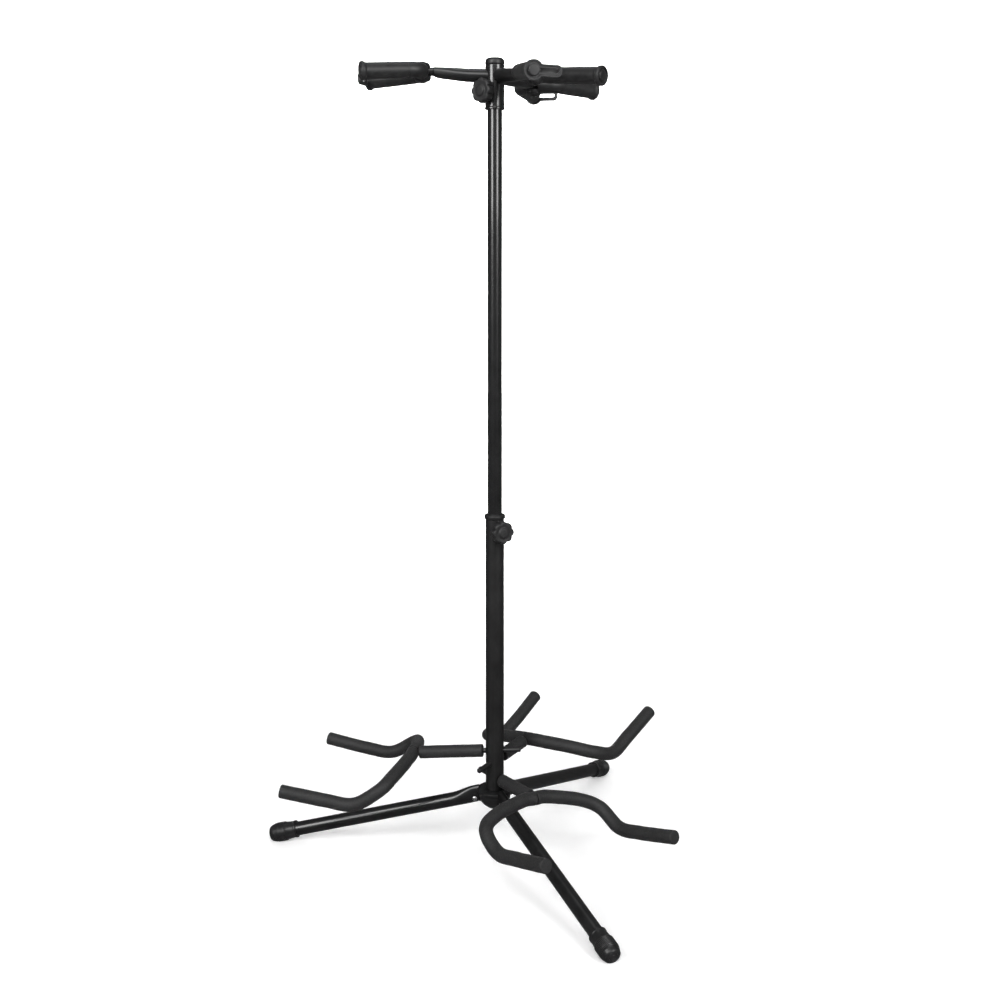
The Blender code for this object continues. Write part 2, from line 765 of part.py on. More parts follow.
def make_yoke():
    """The moulded fork: a boss on the pin, two curved shoulders and the two
    thin cores the rubber sleeves are pushed on to."""
    half = [
        Vector((0.0010, 0.0, 0.0)),
        Vector((0.0010, 0.0110, 0.0)),
        Vector((0.0022, 0.0190, 0.0)),
        Vector((0.0058, 0.0245, 0.0)),
        PRONG_ROOT + PRONG_DIR * 0.0060,
        PRONG_ROOT + PRONG_DIR * (PAD_START - GAP),
        PRONG_ROOT + PRONG_DIR * (PAD_START - GAP + 0.0001),
        PRONG_ROOT + PRONG_DIR * (PRONG_LENGTH - 0.0030),
    ]
    girth = [YOKE_BODY_RADIUS] * 6 + [CORE_RADIUS] * 2
    path = [Vector((p.x, -p.y, 0.0)) for p in half[:0:-1]] + half
    radii = girth[:0:-1] + girth
    body = make_object("yoke_left", sweep(path, radii, 14), black_plastic)
    boss = lathe(
        [
            (0.0, -YOKE_BOSS_HALF),
            (YOKE_BOSS_RADIUS - 0.0022, -YOKE_BOSS_HALF),
            (YOKE_BOSS_RADIUS, -YOKE_BOSS_HALF + 0.0026),
            (YOKE_BOSS_RADIUS, YOKE_BOSS_HALF - 0.0026),
            (YOKE_BOSS_RADIUS - 0.0022, YOKE_BOSS_HALF),
            (0.0, YOKE_BOSS_HALF),
        ],
        20,
        closed=False,
    )
    combine(body, "UNION", boss)
    mouth = ARM_TONGUE_HALF + 0.0004
    pocket = box((-0.0200, -0.0107, -mouth), (0.0072, 0.0107, mouth))
    combine(body, "DIFFERENCE", pocket)
    bore = cylinder(0.0028 + GAP, 0.04, Matrix.Identity(4), 12)
    return combine(body, "DIFFERENCE", bore)


def make_pad(name, gate):
    """Rubber sleeve on a prong, drawn along X from the prong root. The gate
    side stops short so the gate ring can turn beyond it."""
    bore = CORE_RADIUS + GAP
    end = PRONG_LENGTH
    tail = [
        (SLEEVE_PAD_RADIUS, end - 0.0075),
        (FLANGE_RADIUS, end - 0.0048),
        (FLANGE_RADIUS, end - 0.0010),
        (FLANGE_RADIUS - 0.0012, end),
        (0.0092, end),
        (0.0084, end - 0.0016),
        (0.0070, end - 0.0016),
        (0.0064, end + 0.0006),
        (0.0, end + 0.0006),
        (0.0, end - 0.0026),
        (bore, end - 0.0026),
    ]
    if gate:
        tail = [
            (SLEEVE_PAD_RADIUS, end - 0.0068),
            (SLEEVE_PAD_RADIUS - 0.0010, end - 0.0050 - GAP),
            (bore, end - 0.0050 - GAP),
        ]
    head = [
        (bore, PAD_START),
        (0.0100, PAD_START),
        (SLEEVE_PAD_RADIUS, PAD_START + 0.0200),
    ]
    body = lathe(head + tail, 16)
    body.transform(Matrix.Rotation(pi / 2.0, 4, "Y"))
    return make_object(name, body, black_rubber)


def keyhole(radius, half, length, steps):
    """Outline of a round eye with a straight tab, in the YZ plane, tab to -Y."""
    start = atan2(half, (radius * radius - half * half) ** 0.5)
    points = []
    for step in range(steps + 1):
        angle = start + (2.0 * pi - 2.0 * start) * step / steps
        points.append((-radius * cos(angle), radius * sin(angle)))
    corner = half * 0.8
    for step in range(4):
        angle = pi / 2.0 * step / 3.0
        points.append((-length + corner - corner * sin(angle), -half + corner - corner * cos(angle)))
    for step in range(4):
        angle = pi / 2.0 * step / 3.0
        points.append((-length + corner - corner * cos(angle), half - corner + corner * sin(angle)))
    return points


def slot_cutter(low, high, half):
    """A round-ended slot along Y, cut through in X."""
    bm = bmesh.new()
    loops = []
    for x in (-0.01, 0.01):
        loop = []
        for centre, turn in ((high, 0.0), (low, pi)):
            for step in range(7):
                angle = turn - pi / 2.0 + pi * step / 6.0
                loop.append(bm.verts.new((x, centre + half * cos(angle), half * sin(angle))))
        loops.append(loop)
    bridge(bm, loops[0], loops[1])
    bm.faces.new(loops[0])
    bm.faces.new(loops[1])
    return bm


def make_gate():
    """Keyhole-shaped gate lever: a raised rim round a thinner slotted web.
    Its eye turns on the core end, and the tab points across the fork."""
    rim = keyhole(FLANGE_RADIUS - 0.0001, 0.0070, GATE_LENGTH, 18)
    ledge = keyhole(FLANGE_RADIUS - 0.0027, 0.0046, GATE_LENGTH - 0.0026, 18)
    front = GATE_THICKNESS / 2.0
    back = -GATE_THICKNESS / 2.0
    step_face = front - 0.0014
    bm = bmesh.new()
    loops = []
    for outline, level in ((rim, back), (rim, front), (ledge, front), (ledge, step_face)):
        loops.append([bm.verts.new((level, y, z)) for y, z in outline])
    for low, high in zip(loops, loops[1:]):
        bridge(bm, low, high)
    bm.faces.new(loops[0])
    bm.faces.new(loops[-1])
    body = make_object("gate_left", bm, black_plastic)
    along = Matrix.Rotation(pi / 2.0, 4, "Y")
    eye = cylinder(CORE_RADIUS + GAP, 0.02, along, 16)
    return combine(body, "DIFFERENCE", eye, slot_cutter(-GATE_LENGTH + 0.0060, -0.0094, 0.0024))


yoke = make_yoke()
plain_pad = make_pad("prong_pad_left_plain", False)
gate_pad = make_pad("prong_pad_left_gate", True)
gate = make_gate()
pin = make_object(
    "yoke_pin_left",
    lathe(
        [
            (0.0, -YOKE_BOSS_HALF - 0.0016),
            (0.0034, -YOKE_BOSS_HALF - 0.0014),
            (0.0046, -YOKE_BOSS_HALF - GAP),
            (0.0028, -YOKE_BOSS_HALF - GAP),
            (0.0028, YOKE_BOSS_HALF + GAP),
            (0.0046, YOKE_BOSS_HALF + GAP),
            (0.0034, YOKE_BOSS_HALF + 0.0014),
            (0.0, YOKE_BOSS_HALF + 0.0016),
        ],
        12,
        closed=False,
    ),
    satin_black,
)
button = lathe(
    [
        (0.0, 0.0),
        (0.0070, 0.0),
        (0.0070, 0.0017),
        (0.0061, 0.0025),
        (0.0, 0.0027),
    ],
    18,
    closed=False,
)
button.transform(Matrix.Rotation(pi / 2.0, 4, "Y"))
button = make_object("gate_button_left", button, black_plastic)

for name, azimuth, droop, rise in ARM_SET:
    place = turned(azimuth, ARM_Z) @ Matrix.Rotation(radians(-droop), 4, "Y")
    fork = place @ Matrix.Translation((YOKE_PIVOT_R, 0.0, rise))
    if name == "back":
        fork = fork @ Matrix.Rotation(pi, 4, "X")
    plain_side = fork @ Matrix.Translation(PRONG_ROOT) @ Matrix.Rotation(PRONG_ANGLE, 4, "Z")
    mirror_root = Vector((PRONG_ROOT.x, -PRONG_ROOT.y, 0.0))
    gate_side = fork @ Matrix.Translation(mirror_root) @ Matrix.Rotation(-PRONG_ANGLE, 4, "Z")
    ring_at = gate_side @ Matrix.Translation((PRONG_LENGTH - 0.0050 + GATE_THICKNESS / 2.0, 0.0, 0.0))
    ring_at = ring_at @ Matrix.Rotation(pi, 4, "X")
    button_at = gate_side @ Matrix.Translation((PRONG_LENGTH - 0.0050 + GATE_THICKNESS + GAP, 0.0, 0.0))
    parts = (
        ("yoke_", "", yoke, fork),
        ("yoke_pin_", "", pin, fork),
        ("prong_pad_", "_plain", plain_pad, plain_side),
        ("prong_pad_", "_gate", gate_pad, gate_side),
        ("gate_", "", gate, ring_at),
        ("gate_button_", "", button, button_at),
    )
    make_arm("neck_arm_" + name, droop, rise, place)
    for head, tail, source, where in parts:
        if source.name == head + name + tail:
            source.matrix_world = where
        else:
            copy_object(source, head + name + tail, where)


# Stand the whole rack on the centre of its footprint

column_axis = bpy.data.objects.new("column_axis", None)
bpy.context.scene.collection.objects.link(column_axis)
column_axis.location = (COLUMN_X, COLUMN_Y, 0.0)
for obj in list(bpy.data.objects):
    if obj.type == "MESH":
        obj.parent = column_axis
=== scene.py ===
import json
from math import atan2, cos, pi, radians, sin

import bmesh
import bpy
from mathutils import Matrix, Vector, noise


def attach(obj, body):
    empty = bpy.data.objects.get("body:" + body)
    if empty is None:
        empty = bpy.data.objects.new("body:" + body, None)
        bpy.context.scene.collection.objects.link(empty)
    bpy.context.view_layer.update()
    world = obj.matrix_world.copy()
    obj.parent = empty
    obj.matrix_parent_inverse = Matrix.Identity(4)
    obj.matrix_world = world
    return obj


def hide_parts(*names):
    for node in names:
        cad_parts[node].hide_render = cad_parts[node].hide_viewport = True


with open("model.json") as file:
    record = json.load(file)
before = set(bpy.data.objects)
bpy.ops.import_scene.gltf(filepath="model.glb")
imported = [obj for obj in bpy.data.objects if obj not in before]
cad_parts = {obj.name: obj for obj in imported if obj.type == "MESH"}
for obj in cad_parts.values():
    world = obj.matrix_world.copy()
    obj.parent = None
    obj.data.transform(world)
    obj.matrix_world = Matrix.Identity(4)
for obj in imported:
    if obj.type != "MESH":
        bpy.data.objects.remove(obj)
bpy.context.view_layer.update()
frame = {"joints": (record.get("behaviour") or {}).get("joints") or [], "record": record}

BODIES = frame["record"]["behaviour"]["bodies"]
BODY_OF = {node: body for body, nodes in BODIES.items() for node in nodes}
SLOT_OF = {row["node"]: row["material_slot"] for row in frame["record"]["subparts"]}
JOINT = {joint["name"]: joint for joint in frame["joints"]}
SIDES = ("left", "front", "back")
COLUMN = Vector((JOINT["top_turn"]["pos_m"][0], JOINT["top_turn"]["pos_m"][1], 0.0))
TUBE_SIDES = 96

# Clearance between pieces and the small bevel on cut edges
GAP = 0.0003
EDGE = 0.0003

# Tripod base
LEG_SLOPE = radians(13.8)
LEG_LIFT = 0.0033
LEG_R = 0.00975
LEG_WALL = 0.0015
LEG_LENGTH = 0.2905
LEG_END_H = 0.0120
LEG_END_RISE = 0.0022
LEG_END_W = 0.0052
LEG_PIVOT_Z = 0.0778
FOOT_R = 0.0136
FOOT_LENGTH = 0.0400
FOOT_OVERHANG = 0.0151
FOOT_COLLAR_R = 0.0121
FOOT_RIBS = 9
TONGUE = 0.0023
TONGUE_EYE_R = 0.0046
RIVET_R = 0.0030

# Column
LOWER_R = 0.0127
LOWER_BORE = 0.0112
LOWER_TOP = 0.4800
HUB_TOP = 0.0925
MIDDLE_R = 0.0098
MIDDLE_BORE = 0.0080
MIDDLE_LOW = 0.2900
UPPER_R = 0.0096
UPPER_BORE = 0.0078
SEAM_Z = 0.6520
SPIGOT_R = 0.0077
SPIGOT_BORE = 0.0062
SPIGOT_LOW = SEAM_Z - 0.0450
UPPER_TOP = 1.0690
COLLAR_LOW = 0.4300
COLLAR_R = 0.0142
SLEEVE_R = 0.0124
SLEEVE_BORE = 0.0100
SLEEVE_LOW = 1.0184
SLEEVE_TOP = 1.0735
CAP_TOP = 1.0830

# Clamps: weld nut, screw and knob
KNOB_HOLE_R = 0.0034
NUT_R = 0.0072
NUT_BORE = 0.0039
NUT_T = 0.0052
NUT_SINK = 0.0006
KNOB_SEAT = 0.0046
SCREW_R = 0.0030
THREAD_ROOT = 0.0026
THREAD_PITCH = 0.0008
SCREW_GRIP = 0.0074
KNOB_LOBES = 8
LOBE_DEPTH = 0.0013

# Cradles: azimuth, upward tilt, roll, reach and level
CRADLES = (
    ("left", 170.1, -5.5, 2.4, 0.0224, 0.1488),
    ("front", 306.4, 0.4, -6.7, -0.0058, 0.1094),
    ("back", 51.4, 7.0, -6.8, -0.0213, 0.1340),
)
ROD_R = 0.0035
ROD_INNER = 0.0370
JUNCTION = 0.0960
STEM_FOAM_R = 0.0090
STEM_FOAM_START = 0.0170
FOAM_R = 0.0094
FOAM_BORE = ROD_R + 0.0005
FOAM_PARTING = 0.0005
FOAM_JOINT = 0.0006
STEM_RINGS = 34
TIP_CLOSURE = 0.0040

# Foam skin: noise scale and height of its swells, and how far it sits in
SWELLS = ((90.0, 0.00022), (420.0, 0.00007))
SKIN_SINK = 0.00012

# Neck yokes
ARM_Z = 1.0609
TONGUE_T = 0.0050
YOKE_R = 0.0100
BOSS_R = 0.0112
BOSS_HALF = 0.0119
PIN_R = 0.0028
MOUTH_HALF = 0.0113
MOUTH_DEPTH = 0.0072
MOUTH_GAP = 0.0004
PIVOT_R = 0.0925
VOXEL = 0.0006
CORE_R = 0.0052
PAD_R = 0.0103
FLANGE_R = 0.0121
GATE_LENGTH = 0.0340
GATE_T = 0.0042
GATE_SEAT = 0.0050
PAD_START = 0.0120
PAD_ROOT_R = 0.0100
PAD_TAPER = 0.0200
PRONG_ROOT = Vector((0.0060, 0.0263, 0.0))
PRONG_TIP = Vector((0.1678 - PIVOT_R, 0.0492, 0.0))
PRONG_LENGTH = (PRONG_TIP - PRONG_ROOT).length
PRONG_ANGLE = atan2(PRONG_TIP.y - PRONG_ROOT.y, PRONG_TIP.x - PRONG_ROOT.x)
PRONG_DIR = Vector((cos(PRONG_ANGLE), sin(PRONG_ANGLE), 0.0))

# Stage: flat floor, round bend and upright wall
FLOOR_FRONT = -4.0
FLOOR_BACK = 1.6
FLOOR_SINK = 0.0002
BEND_R = 1.2
WALL_TOP = 5.0
STAGE_HALF = 6.0
STAGE_TONE = (0.86, 0.86, 0.86)

# Light the stage itself gives towards the viewer only: near the column, far
# from it, and the distances between which one fades into the other
NEAR_GLOW = 0.26
FAR_GLOW = 0.90
GLOW_FADE = (0.9, 2.4)

# Strength of the room, as a light and as the camera sees it
ROOM_LEVEL = 0.10
ROOM_SEEN = 0.95

# Lamps: name, place and aim from the foot of the column, width, height, watts
SUBJECT = (0.0, 0.0, 0.55)
KEY_AIM = (0.0, 0.0, 1.35)
WALL_AIM = (0.0, 3.0, 0.4)
LAMPS = (
    ("soft_left", (-1.62, -1.85, 1.70), KEY_AIM, 1.10, 1.5, 52.0),
    ("soft_right", (1.62, -1.85, 1.70), KEY_AIM, 1.10, 1.5, 48.0),
    ("overhead", (0.0, 0.2, 2.9), SUBJECT, 1.6, 1.6, 8.0),
    ("front_key", (-0.2, -2.3, 2.3), SUBJECT, 1.7, 1.3, 26.0),
    ("sweep_wash", (0.0, 1.3, 3.0), WALL_AIM, 4.0, 1.0, 110.0),
)
WASH_SPREAD = radians(100.0)

# Camera, placed from the foot of the column
CAMERA_AT = (0.0, -1.6768, 0.8377)
CAMERA_DOWN = 9.496
SENSOR_WIDTH = 36.0
LENS = 45.387
LENS_SHIFT = (0.0052, -0.0372)


# Placing

def shift(x=0.0, y=0.0, z=0.0):
    return Matrix.Translation((x, y, z))


def turn(degrees, axis):
    return Matrix.Rotation(radians(degrees), 4, axis)


# Materials

def node_material(name):
    mat = bpy.data.materials.new(name)
    mat.use_nodes = True
    tree = mat.node_tree
    return mat, tree, tree.nodes["Principled BSDF"]


def link(tree, source, target):
    tree.links.new(source, target)


def coords(tree, scale=(1.0, 1.0, 1.0)):
    where = tree.nodes.new("ShaderNodeTexCoord")
    mapping = tree.nodes.new("ShaderNodeMapping")
    mapping.inputs["Scale"].default_value = scale
    link(tree, where.outputs["Object"], mapping.inputs["Vector"])
    return mapping.outputs["Vector"]


def noise_node(tree, vector, scale, detail=4.0, rough=0.55):
    node = tree.nodes.new("ShaderNodeTexNoise")
    node.inputs["Scale"].default_value = scale
    node.inputs["Detail"].default_value = detail
    node.inputs["Roughness"].default_value = rough
    link(tree, vector, node.inputs["Vector"])
    return node.outputs["Fac"]


def spread(tree, fac, low, high, from_low=0.3, from_high=0.7):
    node = tree.nodes.new("ShaderNodeMapRange")
    node.inputs["From Min"].default_value = from_low
    node.inputs["From Max"].default_value = from_high
    node.inputs["To Min"].default_value = low
    node.inputs["To Max"].default_value = high
    link(tree, fac, node.inputs["Value"])
    return node.outputs["Result"]


def mix_colour(tree, fac, dark, light):
    node = tree.nodes.new("ShaderNodeMix")
    node.data_type = "RGBA"
    if isinstance(fac, float):
        node.inputs["Factor"].default_value = fac
    else:
        link(tree, fac, node.inputs["Factor"])
    for socket, value in (("A", dark), ("B", light)):
        at = [s for s in node.inputs if s.name == socket and s.type == "RGBA"][0]
        if isinstance(value, tuple):
            at.default_value = (*value, 1.0)
        else:
            link(tree, value, at)
    return [s for s in node.outputs if s.type == "RGBA"][0]


def bump(tree, shader, height, strength, distance, before=None):
    node = tree.nodes.new("ShaderNodeBump")
    node.inputs["Strength"].default_value = strength
    node.inputs["Distance"].default_value = distance
    link(tree, height, node.inputs["Height"])
    if before is not None:
        link(tree, before, node.inputs["Normal"])
    link(tree, node.outputs["Normal"], shader.inputs["Normal"])
    return node.outputs["Normal"]


def worn_edges(tree, start, end):
    where = tree.nodes.new("ShaderNodeNewGeometry")
    return spread(tree, where.outputs["Pointiness"], 0.0, 1.0, start, end)


def paint(name, base, rough, coat, peel):
    """Powder-coated steel: orange peel, faint handling marks, worn edges."""
    mat, tree, shader = node_material(name)
    vector = coords(tree)
    cloud = noise_node(tree, vector, 34.0, 3.0)
    light = tuple(c * 1.7 + 0.004 for c in base)
    tone = mix_colour(tree, spread(tree, cloud, 0.0, 1.0), base, light)
    edges = worn_edges(tree, 0.56, 0.72)
    tone = mix_colour(tree, edges, tone, tuple(c * 3.0 + 0.02 for c in base))
    link(tree, tone, shader.inputs["Base Color"])
    marks = noise_node(tree, vector, 260.0, 5.0, 0.65)
    link(tree, spread(tree, marks, rough * 0.92, rough * 1.10), shader.inputs["Roughness"])
    shader.inputs["Coat Weight"].default_value = coat
    shader.inputs["Coat Roughness"].default_value = 0.10
    shader.inputs["Specular IOR Level"].default_value = 0.5
    bump(tree, shader, noise_node(tree, vector, 420.0, 2.0, 0.4), peel, 0.0001)
    return mat


def moulded(name, base, rough, grain, depth):
    """Moulded plastic: spark-eroded grain, soft tone shifts, rubbed edges."""
    mat, tree, shader = node_material(name)
    vector = coords(tree)
    cloud = noise_node(tree, vector, 60.0, 4.0)
    light = tuple(c * 1.55 for c in base)
    tone = mix_colour(tree, spread(tree, cloud, 0.0, 1.0), base, light)
    edges = worn_edges(tree, 0.54, 0.68)
    tone = mix_colour(tree, edges, tone, tuple(c * 2.4 + 0.01 for c in base))
    link(tree, tone, shader.inputs["Base Color"])
    fine = noise_node(tree, vector, grain, 3.0, 0.6)
    link(tree, spread(tree, fine, rough * 0.85, rough * 1.20), shader.inputs["Roughness"])
    shader.inputs["Specular IOR Level"].default_value = 0.45
    bump(tree, shader, fine, depth, 0.0003)
    return mat


def rubber(name, base, rough, depth):
    """Matt rubber: fine grain, faint bloom, a little sheen at the edges."""
    mat, tree, shader = node_material(name)
    vector = coords(tree)
    bloom = noise_node(tree, vector, 95.0, 6.0, 0.7)
    light = tuple(c * 1.7 + 0.006 for c in base)
    tone = mix_colour(tree, spread(tree, bloom, 0.0, 1.0, 0.35, 0.75), base, light)
    link(tree, tone, shader.inputs["Base Color"])
    fine = noise_node(tree, vector, 1500.0, 3.0, 0.65)
    link(tree, spread(tree, bloom, rough * 0.9, min(rough * 1.2, 1.0)), shader.inputs["Roughness"])
    shader.inputs["Specular IOR Level"].default_value = 0.35
    shader.inputs["Sheen Weight"].default_value = 0.02
    shader.inputs["Sheen Roughness"].default_value = 0.5
    bump(tree, shader, fine, depth, 0.0003)
    return mat


def foam(name, base):
    """Closed-cell foam rubber: pores, mottling and a dry, dusty surface."""
    mat, tree, shader = node_material(name)
    vector = coords(tree)
    mottle = noise_node(tree, vector, 420.0, 5.0, 0.75)
    patch = noise_node(tree, vector, 48.0, 3.0)
    dark, light = (tuple(c * share for c in base) for share in (0.55, 1.5))
    tone = mix_colour(tree, spread(tree, mottle, 0.0, 1.0, 0.32, 0.68), dark, light)
    tone = mix_colour(tree, spread(tree, patch, 0.0, 0.30), tone, tuple(c * 1.9 for c in base))
    link(tree, tone, shader.inputs["Base Color"])
    shader.inputs["Roughness"].default_value = 0.58
    shader.inputs["Specular IOR Level"].default_value = 0.40
    shader.inputs["Sheen Weight"].default_value = 0.03
    shader.inputs["Sheen Roughness"].default_value = 0.45
    cells = tree.nodes.new("ShaderNodeTexVoronoi")
    cells.inputs["Scale"].default_value = 1300.0
    link(tree, vector, cells.inputs["Vector"])
    pores = bump(tree, shader, cells.outputs["Distance"], 0.45, 0.0004)
    bump(tree, shader, mottle, 0.55, 0.0006, pores)
    return mat


def plated(name):
    """Bright zinc-plated steel with fine turning marks."""
    mat, tree, shader = node_material(name)
    vector = coords(tree, (1.0, 1.0, 12.0))
    turning = noise_node(tree, vector, 300.0, 4.0, 0.6)
    tone = mix_colour(tree, spread(tree, turning, 0.0, 1.0), (0.52, 0.52, 0.53), (0.78, 0.78, 0.78))
    link(tree, tone, shader.inputs["Base Color"])
    shader.inputs["Metallic"].default_value = 1.0
    link(tree, spread(tree, turning, 0.18, 0.38), shader.inputs["Roughness"])
    bump(tree, shader, turning, 0.10, 0.0002)
    return mat


# Paint: colour, roughness, clear coat, peel. Mouldings and rubber: colour,
# roughness, grain and depth of the surface
LOOKS = {
    "tube_gloss": paint("tube_gloss_paint", (0.0050, 0.0050, 0.0052), 0.25, 0.50, 0.04),
    "tube_satin": paint("tube_satin_paint", (0.0035, 0.0035, 0.0036), 0.46, 0.05, 0.06),
    "leg_paint": paint("leg_gloss_paint", (0.0045, 0.0045, 0.0047), 0.30, 0.30, 0.05),
    "arm_paint": paint("arm_gloss_paint", (0.0045, 0.0045, 0.0047), 0.32, 0.25, 0.05),
    "rod_paint": paint("rod_satin_paint", (0.0045, 0.0045, 0.0047), 0.42, 0.10, 0.06),
    "hub_plastic": moulded("hub_moulding", (0.0070, 0.0070, 0.0073), 0.42, 1400.0, 0.12),
    "knob_plastic": moulded("knob_moulding", (0.0110, 0.0110, 0.0113), 0.50, 1100.0, 0.30),
    "yoke_plastic": moulded("yoke_moulding", (0.0100, 0.0100, 0.0103), 0.44, 1200.0, 0.16),
    "gate_plastic": moulded("gate_moulding", (0.0150, 0.0150, 0.0154), 0.42, 1300.0, 0.16),
    "pad_rubber": rubber("pad_rubber_sleeve", (0.0100, 0.0100, 0.0103), 0.42, 0.16),
    "foot_rubber": rubber("foot_rubber_cap", (0.0090, 0.0090, 0.0093), 0.34, 0.12),
    "foam": foam("foam_sleeve", (0.0150, 0.0150, 0.0153)),
    "steel": plated("zinc_plate"),
}


# Mesh tools

def to_object(name, bm, place=None, sharp=38.0):
    bmesh.ops.recalc_face_normals(bm, faces=bm.faces)
    mesh = bpy.data.meshes.new(name)
    bm.to_mesh(mesh)
    bm.free()
    obj = bpy.data.objects.new(name, mesh)
    bpy.context.scene.collection.objects.link(obj)
    if place is not None:
        obj.matrix_world = place
    shade(obj, sharp)
    return obj


def shade(obj, sharp=38.0):
    for poly in obj.data.polygons:
        poly.use_smooth = True
    obj.data.set_sharp_from_angle(angle=radians(sharp))


def bridge(bm, low, high):
    count = max(len(low), len(high))
    for step in range(count):
        after = (step + 1) % count
        if len(low) == 1:
            bm.faces.new((low[0], high[step], high[after]))
        elif len(high) == 1:
            bm.faces.new((low[step], low[after], high[0]))
        else:
            bm.faces.new((low[step], low[after], high[after], high[step]))


def eased(outline, size, closed=True, steps=3):
    """The outline with every corner rounded off."""
    count = len(outline)
    rounded = []
    for index, corner in enumerate(outline):
        if not closed and index in (0, count - 1):
            rounded.append(corner)
            continue
        here = Vector((*corner, 0.0))
        before = Vector((*outline[index - 1], 0.0)) - here
        after = Vector((*outline[(index + 1) % count], 0.0)) - here
        if before.angle(-after, 0.0) < radians(6.0):
            rounded.append(corner)
            continue
        start = here + before.normalized() * min(size, before.length * 0.45)
        end = here + after.normalized() * min(size, after.length * 0.45)
        for step in range(steps + 1):
            t = step / steps
            point = start * (1.0 - t) ** 2 + here * 2.0 * t * (1.0 - t) + end * t * t
            rounded.append((point.x, point.y))
    return rounded


def lathe(profile, segments=72, closed=True):
    """Turn an (r, z) outline about Z."""
    bm = bmesh.new()
    rings = []
    for radius, height in profile:
        if radius < 1e-7:
            rings.append([bm.verts.new((0.0, 0.0, height))])
            continue
        angles = [2.0 * pi * step / segments for step in range(segments)]
        rings.append([bm.verts.new((radius * cos(a), radius * sin(a), height)) for a in angles])
    pairs = list(zip(rings, rings[1:]))
    if closed:
        pairs.append((rings[-1], rings[0]))
    for low, high in pairs:
        if len(low) + len(high) > 2:
            bridge(bm, low, high)
    return bm


def sweep_rings(bm, points, radii, segments):
    path = [Vector(point) for point in points]
    last = len(path) - 1
    tangents = [
        (path[min(i + 1, last)] - path[max(i - 1, 0)]).normalized() for i in range(last + 1)
    ]
    side = tangents[0].orthogonal().normalized()
    angles = [2.0 * pi * step / segments for step in range(segments)]
    rings = []
    for index, centre in enumerate(path):
        if index:
            side = (tangents[index - 1].rotation_difference(tangents[index]) @ side).normalized()
        other = tangents[index].cross(side)
        rings.append([
            bm.verts.new(centre + (side * cos(a) + other * sin(a)) * radii[index]) for a in angles
        ])
    return rings


def sweep(points, radii, segments, bore_points=None, bore=None):
    """A round bar along a path, with an optional blind bore."""
    bm = bmesh.new()
    outer = sweep_rings(bm, points, radii, segments)
    for low, high in zip(outer, outer[1:]):
        bridge(bm, low, high)
    bm.faces.new(outer[-1])
    if bore_points is None:
        bm.faces.new(outer[0][::-1])
        return bm
    inner = sweep_rings(bm, bore_points, [bore] * len(bore_points), segments)
    for low, high in zip(inner, inner[1:]):
        bridge(bm, low, high)
    bm.faces.new(inner[-1])
    bridge(bm, outer[0], inner[0])
    return bm


def loft(sections, segments):
    """A bar along X through rounded sections (x, half width, half height,
    squareness, rise)."""
    bm = bmesh.new()
    rings = []
    for x, half_w, half_h, square, rise in sections:
        ring = []
        for step in range(segments):
            angle = 2.0 * pi * (step + 0.5) / segments
            c, s = cos(angle), sin(angle)
            y = half_w * abs(c) ** (2.0 / square) * (1.0 if c > 0.0 else -1.0)
            z = half_h * abs(s) ** (2.0 / square) * (1.0 if s > 0.0 else -1.0)
            ring.append(bm.verts.new((x, y, z + rise)))
        rings.append(ring)
    for low, high in zip(rings, rings[1:]):
        bridge(bm, low, high)
    bm.faces.new(rings[0][::-1])
    bm.faces.new(rings[-1])
    return bm


def box(low, high):
    bm = bmesh.new()
    size = [high[axis] - low[axis] for axis in range(3)]
    middle = [(high[axis] + low[axis]) / 2.0 for axis in range(3)]
    matrix = Matrix.Translation(middle) @ Matrix.Diagonal((*size, 1.0))
    bmesh.ops.create_cube(bm, size=1.0, matrix=matrix)
    return bm


def cylinder(radius, length, matrix, segments=48):
    bm = bmesh.new()
    bmesh.ops.create_cone(bm, cap_ends=True, segments=segments, radius1=radius, radius2=radius,
                          depth=length, matrix=matrix)
    return bm


def settle(obj):
    """Apply every modifier on the object."""
    bpy.context.view_layer.update()
    graph = bpy.context.evaluated_depsgraph_get()
    mesh = bpy.data.meshes.new_from_object(obj.evaluated_get(graph))
    obj.modifiers.clear()
    obj.data = mesh
    return obj


def combine(target, operation, *tools):
    """Exact booleans between an object and tool meshes in its own space."""
    for bm in tools:
        bmesh.ops.recalc_face_normals(bm, faces=bm.faces)
        mesh = bpy.data.meshes.new("tool")
        bm.to_mesh(mesh)
        bm.free()
        cutter = bpy.data.objects.new("tool", mesh)
        bpy.context.scene.collection.objects.link(cutter)
        cutter.matrix_world = target.matrix_world
        modifier = target.modifiers.new("cut", "BOOLEAN")
        modifier.operation = operation
        modifier.solver = "EXACT"
        modifier.object = cutter
        settle(target)
        bpy.data.objects.remove(cutter, do_unlink=True)
    tidy = bmesh.new()
    tidy.from_mesh(target.data)
    bmesh.ops.remove_doubles(tidy, verts=tidy.verts, dist=0.000004)
    bmesh.ops.dissolve_degenerate(tidy, edges=tidy.edges, dist=0.000002)
    tidy.to_mesh(target.data)
    tidy.free()
    shade(target)
    return target


def soften(obj, width, segments=2, angle=40.0):
    """Round the sharp edges left by moulding or cutting."""
    bevel = obj.modifiers.new("edge", "BEVEL")
    bevel.width = width
    bevel.segments = segments
    bevel.limit_method = "ANGLE"
    bevel.angle_limit = radians(angle)
    bevel.use_clamp_overlap = True
    settle(obj)
    shade(obj, 50.0)
    return obj


